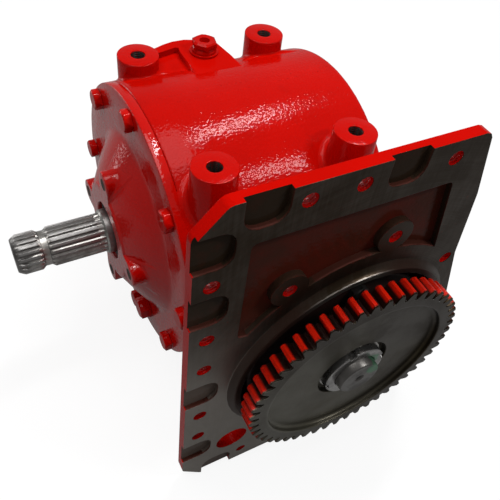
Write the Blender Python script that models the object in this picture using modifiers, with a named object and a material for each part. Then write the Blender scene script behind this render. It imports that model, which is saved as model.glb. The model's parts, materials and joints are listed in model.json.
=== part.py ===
"""Cutter bar drive gearbox.

A right-angle bevel gearbox whose round casting is one piece with its mounting plate. The splined
input shaft enters along X through a domed cover, and the output shaft leaves along -Y through the
plate and carries a large spur gear. Metres, +Z up.

The drawing frame has its origin where the output axis meets the plate's machined face. Every piece
hangs on the empty that moves that frame so that the world origin is under the middle of the box.
"""
import math

import bmesh
import bpy
from mathutils import Matrix, Vector

PART_NAME = "cutter_bar_drive_gearbox"

# Clearances
SEAT_GAP = 0.0003          # between two faces that seat on each other
FIT_GAP = 0.0003           # radial, between a bore and what sits in it
MESH_BACKLASH = 0.0009     # between bevel tooth flanks, on the pitch circle

# Facets of round pieces
FINE = 48
MEDIUM = 28
COARSE = 20
SMALL = 12
FACET_TURN = math.radians(2.3)      # puts one form's facets out of line with those of its neighbour

# Drum of the housing, turned about the input axis
DRUM_RADIUS = 0.1240
DRUM_AXIS_Y = 0.1864       # from the plate's face to the input axis
DRUM_END_X = 0.0880
DRUM_EDGE_ROUND = 0.0050
DRUM_WALL = 0.0120
DRUM_RIM_WALL = 0.0270     # from the drum's skin in to the rim's bore
DRUM_RIM_DEPTH = 0.0190

# Cover on the drum's open end, with the quill that the drive shaft's guard screws to
COVER_FACE_X = -0.1000
COVER_FLANGE = 0.0085
COVER_GASKET = 0.0006
COVER_PILOT = 0.0070
COVER_FLANGE_WIDTH = 0.0400     # from the rim in to the cone's foot
COVER_CONE_TOP_RADIUS = 0.0500
QUILL_FACE_X = -0.1260
QUILL_RADIUS = 0.0440
QUILL_CHAMFER = 0.0010
EAR_CIRCLE = 0.0545
EAR_RADIUS = 0.0110
EAR_DEPTH = 0.0210
EAR_HOLE_RADIUS = 0.0042
EAR_HOLE_DEPTH = 0.0160
COVER_BOLT_INSET = 0.0110       # from the rim in to the bolts
COVER_BOLT_COUNT = 8
COVER_BOLT_LENGTH = 0.0220
COVER_PLUG_INSET = 0.0155       # from the cone's foot out to the drain plug
COVER_PLUG_LENGTH = 0.0070
COVER_PLUG_TURN = math.radians(-104.4)

# Mounting plate, cast in one with the drum; x and z in the drawing frame
PLATE_THICKNESS = 0.0090
PLATE_LEFT_X = -0.1312
PLATE_TOP_Z = 0.1955
PLATE_BOTTOM_Z = -0.1410
PLATE_TOP_RIGHT_X = 0.0620
PLATE_SHOULDER_X = 0.0780
PLATE_SHOULDER_Z = 0.1400
PLATE_WAIST_X = 0.0885
PLATE_WAIST_Z = 0.0760
PLATE_RIGHT_X = 0.1120
PLATE_HIP_Z = 0.0000
PLATE_TOP_CHAMFER = (0.0190, 0.0210)
PLATE_BOTTOM_CHAMFER = (0.0190, 0.0230)
PLATE_CORNER_ROUND = 0.0060
PLATE_BOLT_RADIUS = 0.0055
PLATE_BOLT_PLACES = (
    (-0.0638, 0.1830), (-0.0279, 0.1828), (0.0390, 0.1820), (0.0797, 0.0735),
    (-0.1189, 0.1347), (-0.1189, 0.0804), (-0.1189, 0.0444), (-0.1189, -0.0226), (-0.1189, -0.0580),
)
PAD_BOLT_PLACES = ((0.0149, 0.1226), (-0.0622, 0.1030))
PAD_RADIUS = 0.0140
PORT_RADIUS = 0.0145
PORT_PLACE = (-0.0860, -0.0926)
PORT_BOSS_WALL = 0.0050
PORT_BOSS_BACK = 0.0118
DOWEL_RADIUS = 0.0045
DOWEL_PLACE = (-0.0740, -0.1250)

# Cast pockets that open at the plate's edges, and the large cast recess
POCKET_DEPTH = 0.0038
POCKET_REACH = 0.0250
POCKET_WIDTH = 0.0280
POCKET_ROUND = 0.0100
SIDE_POCKETS_Z = (0.1628, 0.1106, 0.0094, -0.0860)
TOP_POCKETS_X = (-0.0897, 0.0026)
BOTTOM_POCKETS_X = (-0.0985,)
TOP_POCKET_REACH = 0.0230
RECESS_DEPTH = 0.0055
RECESS_TOP_Z = 0.1610
RECESS_LAND = 0.0129       # between the pilot ring's fillet and the recess
RECESS_LEFT_INSET = 0.0150
RECESS_LOW_TURN = math.radians(52.7)
RECESS_RIGHT_OFFSET = 0.0230
RECESS_CORNER = 0.0040

# Pilot ring on the plate, neck and bearing bore about the output axis
PILOT_RADIUS = 0.0935
PILOT_HEIGHT = 0.0051
PILOT_FILLET = 0.0051
PILOT_WALL = 0.0045
PILOT_DEPTH = 0.0105
NECK_RADIUS = 0.0660
NECK_CONE_END_Y = 0.0450
BEARING_BOSS_WALL = 0.0160
BEARING_BOSS_END_Y = 0.1000

# Four tapped bosses on top of the drum
BOSS_X = (-0.0690, 0.0505)
BOSS_Y = (0.1010, 0.2510)
BOSS_RISE = 0.0020         # of the machined tops over the drum's crown
BOSS_RADIUS = 0.0173
BOSS_DRAFT = 0.0300        # growth in radius for each unit of height
BOSS_FILLET = 0.0050
BOSS_HOLE_RADIUS = 0.0062
BOSS_HOLE_DEPTH = 0.0240

# Cast pad behind the drum's crown: a raised block with the breather, and a shelf cut down beside it
VENT_PAD_DROP = 0.0040     # from the drum's crown down to the block's top
VENT_STEP = 0.0052         # from the block's top down to the shelf
VENT_PAD_DRAFT = 1.12
VENT_PAD_OUTLINE = (
    (-0.0600, 0.2145), (-0.0600, 0.2600), (-0.0486, 0.2658), (-0.0394, 0.2694), (-0.0300, 0.2717),
    (-0.0187, 0.2717), (-0.0050, 0.2672), (0.0070, 0.2582), (0.0086, 0.2482), (0.0104, 0.2365),
    (0.0125, 0.2145),
)
VENT_SHELF_OUTLINE = (
    (-0.0700, 0.2100), (-0.0293, 0.2100), (-0.0300, 0.2537), (-0.0287, 0.2605), (-0.0310, 0.2618),
    (-0.0464, 0.2590), (-0.0700, 0.2550),
)
VENT_PLACE = (-0.0098, 0.2483)
VENT_NECK_RADIUS = 0.0080
VENT_NECK_LENGTH = 0.0240

# Breather: its washer, then radii and heights over the washer
BREATHER_WASHER_RADIUS = 0.0125
BREATHER_WASHER = 0.0015
BREATHER_COLLAR_RADIUS = 0.0108
BREATHER_COLLAR = 0.0018
BREATHER_WAIST_RADIUS = 0.0088
BREATHER_WAIST = 0.0036
BREATHER_ACROSS_FLATS = 0.0195
BREATHER_HEXAGON_LOW = 0.0046
BREATHER_HEXAGON_HIGH = 0.0080
BREATHER_HEIGHT = 0.0092
BREATHER_SINK_RADIUS = 0.0046
BREATHER_SINK_FLOOR = 0.0050

# Drain and level plugs on the drum's end wall
PLUG_RADIUS = 0.0080
PLUG_LENGTH = 0.0160
DRAIN_PLUG_INSET = 0.0340           # from the drum's skin in to the drain plug
LEVEL_PLACE = (0.0700, -0.0420)     # from the input axis, along y and z

# Fasteners: across flats, head height, shank radius
M10_RADIUS = 0.0050
M10_BOLT = (0.0160, 0.0066, M10_RADIUS)
M8_RADIUS = 0.0040
M8_BOLT = (0.0130, 0.0053, M8_RADIUS)
PLUG_ACROSS_FLATS = 0.0190
PLUG_HEAD = 0.0100
PLUG_COLLAR = 0.0020

# Input shaft: 35 mm stub with 21 splines and a locking groove, z along the shaft (world +X)
STUB_END = -0.2075
STUB_RADIUS = 0.01745
STUB_ROOT_RADIUS = 0.0155
SPLINE_COUNT = 21
STUB_CHAMFER = 0.0052
STUB_FACE_RADIUS = 0.0145
LOCK_GROOVE_FROM_END = 0.0255
LOCK_GROOVE_ARC = 0.0068
LOCK_GROOVE_RADIUS = 0.0147
SPLINE_RUNOUT = 0.0050
STUB_SHOULDER = -0.1315
JOURNAL_RADIUS = 0.0200
INPUT_SHAFT_END = 0.0900
SEAL_RADIUS = 0.0260
SEAL_WIDTH = 0.0090
SEAL_INSET = 0.0035

# Roller bearings, all four alike
BEARING_RADIUS = 0.0400
BEARING_WIDTH = 0.0200
BEARING_INNER_SHARE = 0.380        # walls and lip as shares of the room between bore and rim
BEARING_OUTER_SHARE = 0.279
BEARING_LIP_SHARE = 0.060
ROLLER_COUNT = 12
FRONT_BEARING_Z = -0.1125
REAR_BEARING_Z = 0.0620

# Bevel pair: the axes meet at the middle of the drum
BEVEL_MODULE = 0.0060
INPUT_TEETH = 24
OUTPUT_TEETH = 18
BEVEL_FACE = 0.0260
BEVEL_ADDENDUM = 0.0052
BEVEL_DEDENDUM = 0.0075
BEVEL_HUB_STEP = 0.0050    # from the bearing's rim in to the gears' hubs

# Rear cap over the inner end of the input shaft
CAP_FLANGE = 0.0200        # from the bearing's rim out
CAP_THICKNESS = 0.0075
CAP_DOME = 0.0060
CAP_BOLT_INSET = 0.0090
CAP_BOLT_COUNT = 4

# Output shaft, z along the shaft (world +Y)
OUTPUT_SHAFT_FRONT = -0.0320
OUTPUT_SHAFT_END = 0.1400
THREAD_RADIUS = 0.0175
CENTRE_HOLE_RADIUS = 0.0042
CENTRE_HOLE_DEPTH = 0.0060
OUTER_BEARING_Z = 0.0240
INNER_BEARING_Z = 0.0790
CARRIER_CLEARANCE = 0.0090   # round the carrier, inside the pilot ring
CARRIER_THICKNESS = 0.0080
CARRIER_BOLT_INSET = 0.0100
CARRIER_BOLT_COUNT = 4
OUTPUT_SEAL_WIDTH = 0.0080
SLEEVE_WALL = 0.0050

# Output gear: module 3.5, 51 teeth, dished face
GEAR_MODULE = 0.0035
GEAR_TEETH = 51
GEAR_TURN = math.radians(3.01)      # of the first tooth at rest
GEAR_FRONT = -0.0272
GEAR_BACK = -0.0123
PRESSURE_ANGLE = math.radians(20.0)
GEAR_DISH_RADIUS = 0.0771
GEAR_DISH_DEPTH = 0.0052
GEAR_DISH_FILLET = 0.0030
GEAR_REAR_DISH_DEPTH = 0.0035
GEAR_NUT_POCKET = 0.0310
GEAR_NUT_POCKET_FLOOR = -0.0165
GEAR_HUB_RADIUS = 0.0380
GEAR_HUB_BACK = -0.0030
NUT_RADIUS = 0.0260
NUT_FRONT = -0.0255
NUT_WIDTH = 0.0072
NUT_SLOT = (0.0060, 0.0025)
NUT_SLOT_COUNT = 4
NUT_TURN = math.radians(73.0)
INNER_NUT_WIDTH = 0.0072
LOCK_WASHER = 0.0012

# Keys
KEY_WIDTH = 0.0120
KEY_HEIGHT = 0.0080
KEY_IN_SHAFT = 0.0050
KEYWAY_RUN = 0.0200        # that a keyway runs on past its key's ends

# Worked out from the sizes above
COVER_BACK_X = COVER_FACE_X + COVER_FLANGE
DRUM_FACE_X = COVER_BACK_X + COVER_GASKET + 2 * SEAT_GAP
DRUM_INNER_RADIUS = DRUM_RADIUS - DRUM_WALL
DRUM_RIM_BORE = DRUM_RADIUS - DRUM_RIM_WALL
COVER_CONE_RADIUS = DRUM_RADIUS - COVER_FLANGE_WIDTH
COVER_BOLT_CIRCLE = DRUM_RADIUS - COVER_BOLT_INSET
COVER_PLUG_CIRCLE = COVER_CONE_RADIUS + COVER_PLUG_INSET
DRAIN_PLACE = (0.0, DRAIN_PLUG_INSET - DRUM_RADIUS)
BOSS_TOP_Z = DRUM_RADIUS + BOSS_RISE
VENT_PAD_TOP_Z = DRUM_RADIUS - VENT_PAD_DROP
PORT_BOSS_RADIUS = PORT_RADIUS + PORT_BOSS_WALL
PILOT_BORE = PILOT_RADIUS - PILOT_WALL
CARRIER_RADIUS = PILOT_BORE - CARRIER_CLEARANCE
CARRIER_BOLT_CIRCLE = CARRIER_RADIUS - CARRIER_BOLT_INSET
RECESS_INNER_RADIUS = PILOT_RADIUS + PILOT_FILLET + RECESS_LAND
RECESS_LEFT_X = RECESS_LEFT_INSET - RECESS_INNER_RADIUS
BEARING_BOSS_RADIUS = BEARING_RADIUS + BEARING_BOSS_WALL
BEVEL_HUB_RADIUS = BEARING_RADIUS - BEVEL_HUB_STEP
CAP_RADIUS = BEARING_RADIUS + CAP_FLANGE
CAP_BOLT_CIRCLE = CAP_RADIUS - CAP_BOLT_INSET
BEVEL_CONE = BEVEL_MODULE / 2 * math.hypot(INPUT_TEETH, OUTPUT_TEETH)
INPUT_PITCH_ANGLE = math.atan2(INPUT_TEETH, OUTPUT_TEETH)
OUTPUT_PITCH_ANGLE = math.pi / 2 - INPUT_PITCH_ANGLE
BORE_RADIUS = JOURNAL_RADIUS + FIT_GAP
BEARING_BORE = BEARING_RADIUS + FIT_GAP

# The world origin is under the middle of the part's box
BOX_X = (STUB_END, PLATE_RIGHT_X)
BOX_Y = (OUTPUT_SHAFT_FRONT, DRUM_AXIS_Y + DRUM_RADIUS)
ORIGIN = Vector((-(BOX_X[0] + BOX_X[1]) / 2, -(BOX_Y[0] + BOX_Y[1]) / 2, -PLATE_BOTTOM_Z))


def clear_scene():
    """Remove whatever the scene holds."""
    for old in list(bpy.data.objects):
        bpy.data.objects.remove(old, do_unlink=True)


def new_collection(name):
    """A collection linked to the scene."""
    collection = bpy.data.collections.new(name)
    bpy.context.scene.collection.children.link(collection)
    return collection


def new_material(name, colour, roughness, metallic):
    """A Principled material with one colour."""
    material = bpy.data.materials.new(name)
    material.use_nodes = True
    shader = material.node_tree.nodes["Principled BSDF"]
    shader.inputs["Base Color"].default_value = (*colour, 1.0)
    shader.inputs["Roughness"].default_value = roughness
    shader.inputs["Metallic"].default_value = metallic
    material.diffuse_color = (*colour, 1.0)
    return material


def new_empty(name, parent=None, location=(0.0, 0.0, 0.0), rotation=(0.0, 0.0, 0.0)):
    """An empty that carries a frame."""
    empty = bpy.data.objects.new(name, None)
    empty.location = location
    empty.rotation_euler = rotation
    empty.parent = parent
    parts.objects.link(empty)
    return empty


def place(name, mesh, parent, material=None):
    """Link a mesh as a finished piece, or as a hidden tool where it has no material."""
    piece = bpy.data.objects.new(name, mesh)
    piece.parent = parent
    if material is None:
        tools.objects.link(piece)
        piece.hide_render = True
        piece.display_type = 'WIRE'
    else:
        parts.objects.link(piece)
        if not mesh.materials:
            mesh.materials.append(material)
    return piece


def to_mesh(name, bm, smooth_angle=math.radians(35.0)):
    """Write a bmesh into a mesh, shaded smooth where it is round."""
    mesh = bpy.data.meshes.new(name)
    bm.to_mesh(mesh)
    bm.free()
    mesh.shade_smooth()
    mesh.set_sharp_from_angle(angle=smooth_angle)
    return mesh


def boolean(piece, tool, operation):
    """Cut, join or intersect a piece with a tool."""
    modifier = piece.modifiers.new(tool.name, 'BOOLEAN')
    modifier.object = tool
    modifier.operation = operation
    modifier.solver = 'EXACT'


def cut(piece, *cutters):
    """Take cutters away from a piece."""
    for cutter in cutters:
        boolean(piece, cutter, 'DIFFERENCE')


def join(piece, *additions):
    """Join solids to a piece."""
    for addition in additions:
        boolean(piece, addition, 'UNION')


def turned(name, profile, parent, material=None, steps=MEDIUM, closed=False):
    """A turned solid: the profile's (radius, z) points run down its outer side."""
    mesh = bpy.data.meshes.new(name)
    points = [(radius, 0.0, z) for radius, z in profile]
    edges = [(i, i + 1) for i in range(len(points) - 1)]
    if closed:
        edges.append((len(points) - 1, 0))
    mesh.from_pydata(points, edges, [])
    piece = place(name, mesh, parent, material)
    screw = piece.modifiers.new("turn", 'SCREW')
    screw.axis = 'Z'
    screw.angle = 2 * math.pi
    screw.steps = steps
    screw.render_steps = steps
    screw.use_smooth_shade = False
    screw.use_merge_vertices = True
    screw.merge_threshold = 0.00001
    return piece


def disc(name, radius, low, high, parent, material=None, steps=MEDIUM, chamfer=0.0):
    """A round bar between two heights, with an optional chamfer at both ends."""
    profile = [(0.0, high), (radius - chamfer, high)]
    if chamfer > 0.0:
        profile += [(radius, high - chamfer), (radius, low + chamfer)]
    else:
        profile += [(radius, low)]
    profile += [(radius - chamfer, low), (0.0, low)] if chamfer > 0.0 else [(0.0, low)]
    return turned(name, profile, parent, material, steps)


def ring(name, inner, outer, low, high, parent, material=None, steps=MEDIUM):
    """A plain ring between two radii and two heights."""
    profile = [(outer, high), (outer, low), (inner, low), (inner, high)]
    return turned(name, profile, parent, material, steps, closed=True)


def arc(centre, radius, start, end, count):
    """Points along a circular arc in a plane, angles in degrees."""
    span = math.radians(end - start)
    first = math.radians(start)
    return [(centre[0] + radius * math.cos(first + span * i / count),
             centre[1] + radius * math.sin(first + span * i / count)) for i in range(count + 1)]


def rounded_polygon(corners, radius, count=4):
    """A polygon's corners, each replaced by an arc that touches both sides."""
    points = []
    for i, corner in enumerate(corners):
        here = Vector(corner)
        before = (Vector(corners[i - 1]) - here).normalized()
        after = (Vector(corners[(i + 1) % len(corners)]) - here).normalized()
        half = before.angle(after) / 2
        reach = radius / math.tan(half)
        start, end = here + before * reach, here + after * reach
        centre = here + (before + after).normalized() * (radius / math.sin(half))
        turn = (start - centre).angle_signed(end - centre)
        for k in range(count + 1):
            arm = (start - centre).copy()
            arm.rotate(Matrix.Rotation(-turn * k / count, 2))
            points.append(tuple(centre + arm))
    return points


def add_prism(bm, outline, low, high, to_point):
    """Add an extruded outline; to_point turns (u, v, height) into a place."""
    lower = [bm.verts.new(to_point(u, v, low)) for u, v in outline]
    upper = [bm.verts.new(to_point(u, v, high)) for u, v in outline]
    bm.faces.new(lower[::-1])
    bm.faces.new(upper)
    for i in range(len(outline)):
        k = (i + 1) % len(outline)
        bm.faces.new((lower[i], lower[k], upper[k], upper[i]))


def add_loft(bm, rings, placement=Matrix.Identity(4)):
    """Add a solid lofted through rings of equally many points, with flat end caps."""
    loops = [[bm.verts.new(placement @ Vector(point)) for point in points] for points in rings]
    count = len(loops[0])
    bm.faces.new(loops[0][::-1])
    bm.faces.new(loops[-1])
    for low, high in zip(loops, loops[1:]):
        for i in range(count):
            k = (i + 1) % count
            bm.faces.new((low[i], low[k], high[k], high[i]))


def prisms(name, outlines, low, high, parent, to_point, material=None):
    """One object holding an extruded solid for each outline."""
    bm = bmesh.new()
    for outline in outlines:
        add_prism(bm, outline, low, high, to_point)
    bmesh.ops.recalc_face_normals(bm, faces=bm.faces)
    return place(name, to_mesh(name, bm), parent, material)


def bars(name, places, radius, low, high, parent, to_point, segments=SMALL):
    """One hidden tool holding a round bar at each (u, v) place, its facets out of line with round walls."""
    outlines = [arc(spot, radius, 5.0, 365.0, segments)[:-1] for spot in places]
    return prisms(name, outlines, low, high, parent, to_point)


def facing_y(u, v, height):
    """Plate outlines: x and z in the drawing frame, extruded along +Y."""
    return (u, height, v)


def upright(u, v, height):
    """Outlines seen from above: x and y, extruded along +Z."""
    return (u, v, height)


def along(u, v, height):
    """Outlines across a shaft: extruded along the shaft's own z."""
    return (u, v, height)


def circle_places(radius, count, first=0.0):
    """Equally spaced places on a circle in an axis frame, first angle in radians."""
    return [(radius * math.cos(first + 2 * math.pi * i / count),
             radius * math.sin(first + 2 * math.pi * i / count)) for i in range(count)]


def hexagon(across_flats, z, turn=0.0):
    """Twelve points round a hexagon: its corners and the middles of its sides."""
    points = []
    for i in range(12):
        reach = across_flats / 2 / (math.cos(math.pi / 6) if i % 2 == 0 else 1.0)
        angle = math.pi * i / 6 + turn
        points.append((reach * math.cos(angle), reach * math.sin(angle), z))
    return points


def round_ring(radius, z, count=12, turn=0.0):
    """Points round a circle."""
    return [(radius * math.cos(2 * math.pi * i / count + turn),
             radius * math.sin(2 * math.pi * i / count + turn), z) for i in range(count)]


def bolt_rings(across_flats, head, shank_radius, length):
    """A hexagon bolt from the tip of its shank up to its head; its seat is at z = 0."""
    crown = 0.12 * head
    return [
        round_ring(shank_radius, -length),
        round_ring(shank_radius, 0.0),
        hexagon(across_flats, 0.0),
        hexagon(across_flats, head - crown),
        round_ring(across_flats / 2 * 0.95, head),
    ]


def make_bolts(name, places, seat, outward, size, length, parent, material):
    """Alike bolts that share one mesh; outward is +1 or -1 along the parent's z."""
    bm = bmesh.new()
    add_loft(bm, bolt_rings(*size, length))
    bmesh.ops.recalc_face_normals(bm, faces=bm.faces)
    mesh = to_mesh(name, bm)
    for index, (u, v) in enumerate(places):
        bolt = place(f"{name}_{index + 1}", mesh, parent, material)
        bolt.location = (u, v, seat)
        bolt.rotation_euler = (0.0 if outward > 0 else math.pi, 0.0, index * 0.9)


def right_edge():
    """The plate's right side, from its top corner down to its hip."""
    return [(PLATE_TOP_RIGHT_X, PLATE_TOP_Z), (PLATE_SHOULDER_X, PLATE_SHOULDER_Z),
            (PLATE_WAIST_X, PLATE_WAIST_Z), (PLATE_RIGHT_X, PLATE_HIP_Z)]


def plate_outline():
    """The plate's outline, with its sawn corners."""
    top_dx, top_dz = PLATE_TOP_CHAMFER
    low_dx, low_dz = PLATE_BOTTOM_CHAMFER
    corners = [
        (PLATE_LEFT_X, PLATE_BOTTOM_Z + low_dz),
        (PLATE_LEFT_X, PLATE_TOP_Z - top_dz),
        (PLATE_LEFT_X + top_dx, PLATE_TOP_Z),
        *right_edge(),
        (PLATE_RIGHT_X, PLATE_BOTTOM_Z + low_dz),
        (PLATE_RIGHT_X - low_dx, PLATE_BOTTOM_Z),
        (PLATE_LEFT_X + low_dx, PLATE_BOTTOM_Z),
    ]
    return rounded_polygon(corners, PLATE_CORNER_ROUND, 2)


def pocket_outline(mouth, reach, inward):
    """A U-shaped pocket: mouth is the middle of its open side, inward its direction."""
    across = (-inward[1], inward[0])
    half = POCKET_WIDTH / 2
    over = PLATE_THICKNESS

    def at(side, depth):
        return (mouth[0] + across[0] * side + inward[0] * depth,
                mouth[1] + across[1] * side + inward[1] * depth)

    floor_round = min(POCKET_ROUND, half * 0.95, reach * 0.95)
    inner = [at(half - floor_round + u, reach - floor_round + v)
             for u, v in arc((0.0, 0.0), floor_round, 0.0, 90.0, 4)]
    outer = [at(-half + floor_round + u, reach - floor_round + v)
             for u, v in arc((0.0, 0.0), floor_round, 90.0, 180.0, 4)]
    return [at(half, -over), *inner, *outer, at(-half, -over)]


def recess_outline():
    """The large recess: straight top and sides, and an arc about the output axis below."""
    shoulder = right_edge()
    slope = (shoulder[2][0] - shoulder[0][0]) / (shoulder[0][1] - shoulder[2][1])
    top_right = PLATE_TOP_RIGHT_X + slope * (PLATE_TOP_Z - RECESS_TOP_Z) - RECESS_RIGHT_OFFSET
    right_x = top_right + slope * (RECESS_TOP_Z - PLATE_WAIST_Z - RECESS_RIGHT_OFFSET)
    low_right = math.asin(right_x / RECESS_INNER_RADIUS)
    count = 12
    lower = []
    for i in range(count + 1):
        angle = low_right - (RECESS_LOW_TURN + low_right) * i / count
        lower.append((RECESS_INNER_RADIUS * math.sin(angle), RECESS_INNER_RADIUS * math.cos(angle)))
    low = (RECESS_LEFT_X, lower[-1][1])
    corners = [low, (RECESS_LEFT_X, RECESS_TOP_Z), (top_right, RECESS_TOP_Z)]
    rounded = rounded_polygon([*corners, lower[0]], RECESS_CORNER, 3)
    return [*rounded[:12], *lower]


def plate_pockets():
    """Every edge pocket's outline."""
    outlines = [pocket_outline((PLATE_LEFT_X, z), POCKET_REACH, (1.0, 0.0)) for z in SIDE_POCKETS_Z]
    outlines += [pocket_outline((x, PLATE_TOP_Z), TOP_POCKET_REACH, (0.0, -1.0)) for x in TOP_POCKETS_X]
    outlines += [pocket_outline((x, PLATE_BOTTOM_Z), TOP_POCKET_REACH, (0.0, 1.0))
                 for x in BOTTOM_POCKETS_X]
    return outlines


def drum_profile():
    """The drum's wall, turned about the input axis: outside, open rim, cavity, and the bored end wall."""
    half = math.sqrt(0.5) * DRUM_EDGE_ROUND
    floor = DRUM_END_X - DRUM_WALL
    step = DRUM_FACE_X + DRUM_RIM_DEPTH
    boss_z = REAR_BEARING_Z + BEARING_WIDTH * 0.2
    return [(BEARING_BORE, DRUM_END_X), (DRUM_RADIUS - DRUM_EDGE_ROUND, DRUM_END_X),
            (DRUM_RADIUS - DRUM_EDGE_ROUND + half, DRUM_END_X - DRUM_EDGE_ROUND + half),
            (DRUM_RADIUS, DRUM_END_X - DRUM_EDGE_ROUND), (DRUM_RADIUS, DRUM_FACE_X),
            (DRUM_RIM_BORE, DRUM_FACE_X), (DRUM_RIM_BORE, step),
            (DRUM_INNER_RADIUS, step + DRUM_INNER_RADIUS - DRUM_RIM_BORE), (DRUM_INNER_RADIUS, floor),
            (BEARING_BOSS_RADIUS, floor), (BEARING_BOSS_RADIUS, boss_z), (BEARING_BORE, boss_z)]


def neck_profile():
    """Pilot ring, flange fillet, cone and neck about the output axis."""
    fillet = [(PILOT_RADIUS + PILOT_FILLET - PILOT_FILLET * math.cos(a),
               -PILOT_FILLET + PILOT_FILLET * math.sin(a))
              for a in (math.radians(90.0), math.radians(45.0), 0.0)]
    return [(0.0, DRUM_AXIS_Y * 0.6), (NECK_RADIUS, DRUM_AXIS_Y * 0.6), (NECK_RADIUS, NECK_CONE_END_Y),
            (PILOT_RADIUS + PILOT_FILLET, PLATE_THICKNESS / 2),
            *fillet, (PILOT_RADIUS, -PILOT_HEIGHT), (0.0, -PILOT_HEIGHT)]


def drum_height(offset):
    """Height of the drum's surface at a distance from its axis along Y."""
    return math.sqrt(max(DRUM_RADIUS ** 2 - offset ** 2, 0.0))


def boss_profile(fillet_z):
    """One boss from its machined top down into the drum, with a fillet where it stands on the crown."""
    foot = DRUM_AXIS_Y * 0.15
    if fillet_z is None:
        return [(0.0, BOSS_TOP_Z), (BOSS_RADIUS, BOSS_TOP_Z),
                (BOSS_RADIUS + BOSS_DRAFT * (BOSS_TOP_Z - foot), foot), (0.0, foot)]
    low = fillet_z * 0.8
    return [(0.0, BOSS_TOP_Z), (BOSS_RADIUS, BOSS_TOP_Z), (BOSS_RADIUS + 0.0002, fillet_z + BOSS_FILLET),
            (BOSS_RADIUS + BOSS_FILLET * 0.3, fillet_z + BOSS_FILLET * 0.3),
            (BOSS_RADIUS + BOSS_FILLET, fillet_z), (BOSS_RADIUS + BOSS_FILLET, low), (0.0, low)]


def make_bosses(housing, root):
    """Four round tapped bosses; the back pair stands on the crown, the front pair on the drum's face."""
    for i, x in enumerate(BOSS_X):
        for k, y in enumerate(BOSS_Y):
            crown = drum_height(y - DRUM_AXIS_Y - BOSS_RADIUS) if y > DRUM_AXIS_Y else None
            boss = turned(f"boss_form_{i}_{k}", boss_profile(crown), root, steps=MEDIUM)
            boss.location = (x, y, 0.0)
            join(housing, boss)


def make_vent_pad(housing, root):
    """A cast pad behind the crown: the breather's block and a curved rim round a lower shelf."""
    count = len(VENT_PAD_OUTLINE)
    middle_x = sum(x for x, _ in VENT_PAD_OUTLINE) / count
    middle_y = sum(y for _, y in VENT_PAD_OUTLINE) / count
    foot = [(middle_x + (x - middle_x) * VENT_PAD_DRAFT, middle_y + (y - middle_y) * VENT_PAD_DRAFT)
            for x, y in VENT_PAD_OUTLINE]
    back = max(y for _, y in foot)
    base = drum_height(back - DRUM_AXIS_Y) * 0.75
    bm = bmesh.new()
    add_loft(bm, [[(x, y, base) for x, y in foot], [(x, y, VENT_PAD_TOP_Z) for x, y in VENT_PAD_OUTLINE]])
    bmesh.ops.recalc_face_normals(bm, faces=bm.faces)
    pad = place("vent_pad_form", to_mesh("vent_pad_form", bm), root)
    cut(pad, prisms("vent_shelf", [VENT_SHELF_OUTLINE], VENT_PAD_TOP_Z - VENT_STEP,
                    VENT_PAD_TOP_Z + VENT_STEP, root, upright))
    join(housing, pad)


def make_housing(root, input_axis, output_axis, material):
    """The one-piece casting: plate, neck, drum, bosses and pad, with all its machining."""
    bm = bmesh.new()
    add_prism(bm, plate_outline(), 0.0, PLATE_THICKNESS, facing_y)
    bmesh.ops.recalc_face_normals(bm, faces=bm.faces)
    housing = place("gearbox_housing", to_mesh("gearbox_housing", bm), root, material)

    join(housing, turned("neck_form", neck_profile(), output_axis, steps=FINE))
    join(housing, bars("port_boss", [PORT_PLACE], PORT_BOSS_RADIUS, PLATE_THICKNESS / 2, PORT_BOSS_BACK, root,
                       facing_y, COARSE))
    make_bosses(housing, root)
    make_vent_pad(housing, root)
    core = disc("drum_core", DRUM_RADIUS - DRUM_WALL / 2, DRUM_FACE_X - DRUM_WALL,
                DRUM_END_X - DRUM_WALL / 2, input_axis, steps=FINE)
    trim = disc("joint_trim", DRUM_RADIUS + DRUM_WALL, DRUM_FACE_X - 2 * DRUM_WALL, DRUM_FACE_X + 0.0005,
                input_axis, steps=COARSE)
    core.rotation_euler.z = FACET_TURN
    cut(housing, core, trim)
    drum = turned("drum_form", drum_profile(), input_axis, steps=FINE, closed=True)
    drum.rotation_euler.z = FACET_TURN
    join(housing, drum)
    neck_boss = disc("neck_bearing_boss", BEARING_BOSS_RADIUS, NECK_CONE_END_Y, BEARING_BOSS_END_Y,
                     output_axis)
    join(housing, neck_boss)

    past = DRUM_WALL
    neck_bore = turned("neck_bore", [
        (0.0, BEARING_BOSS_END_Y + past), (BEARING_BORE, BEARING_BOSS_END_Y + past),
        (BEARING_BORE, PILOT_DEPTH + CARRIER_THICKNESS / 2), (PILOT_BORE, PILOT_DEPTH),
        (PILOT_BORE, -PILOT_HEIGHT - past), (0.0, -PILOT_HEIGHT - past)], output_axis, steps=FINE)
    neck_bore.rotation_euler.z = FACET_TURN
    cut(housing, neck_bore)

    make_plate_face(housing, root)
    make_drilled_holes(housing, root, input_axis, output_axis)
    return housing


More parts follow.
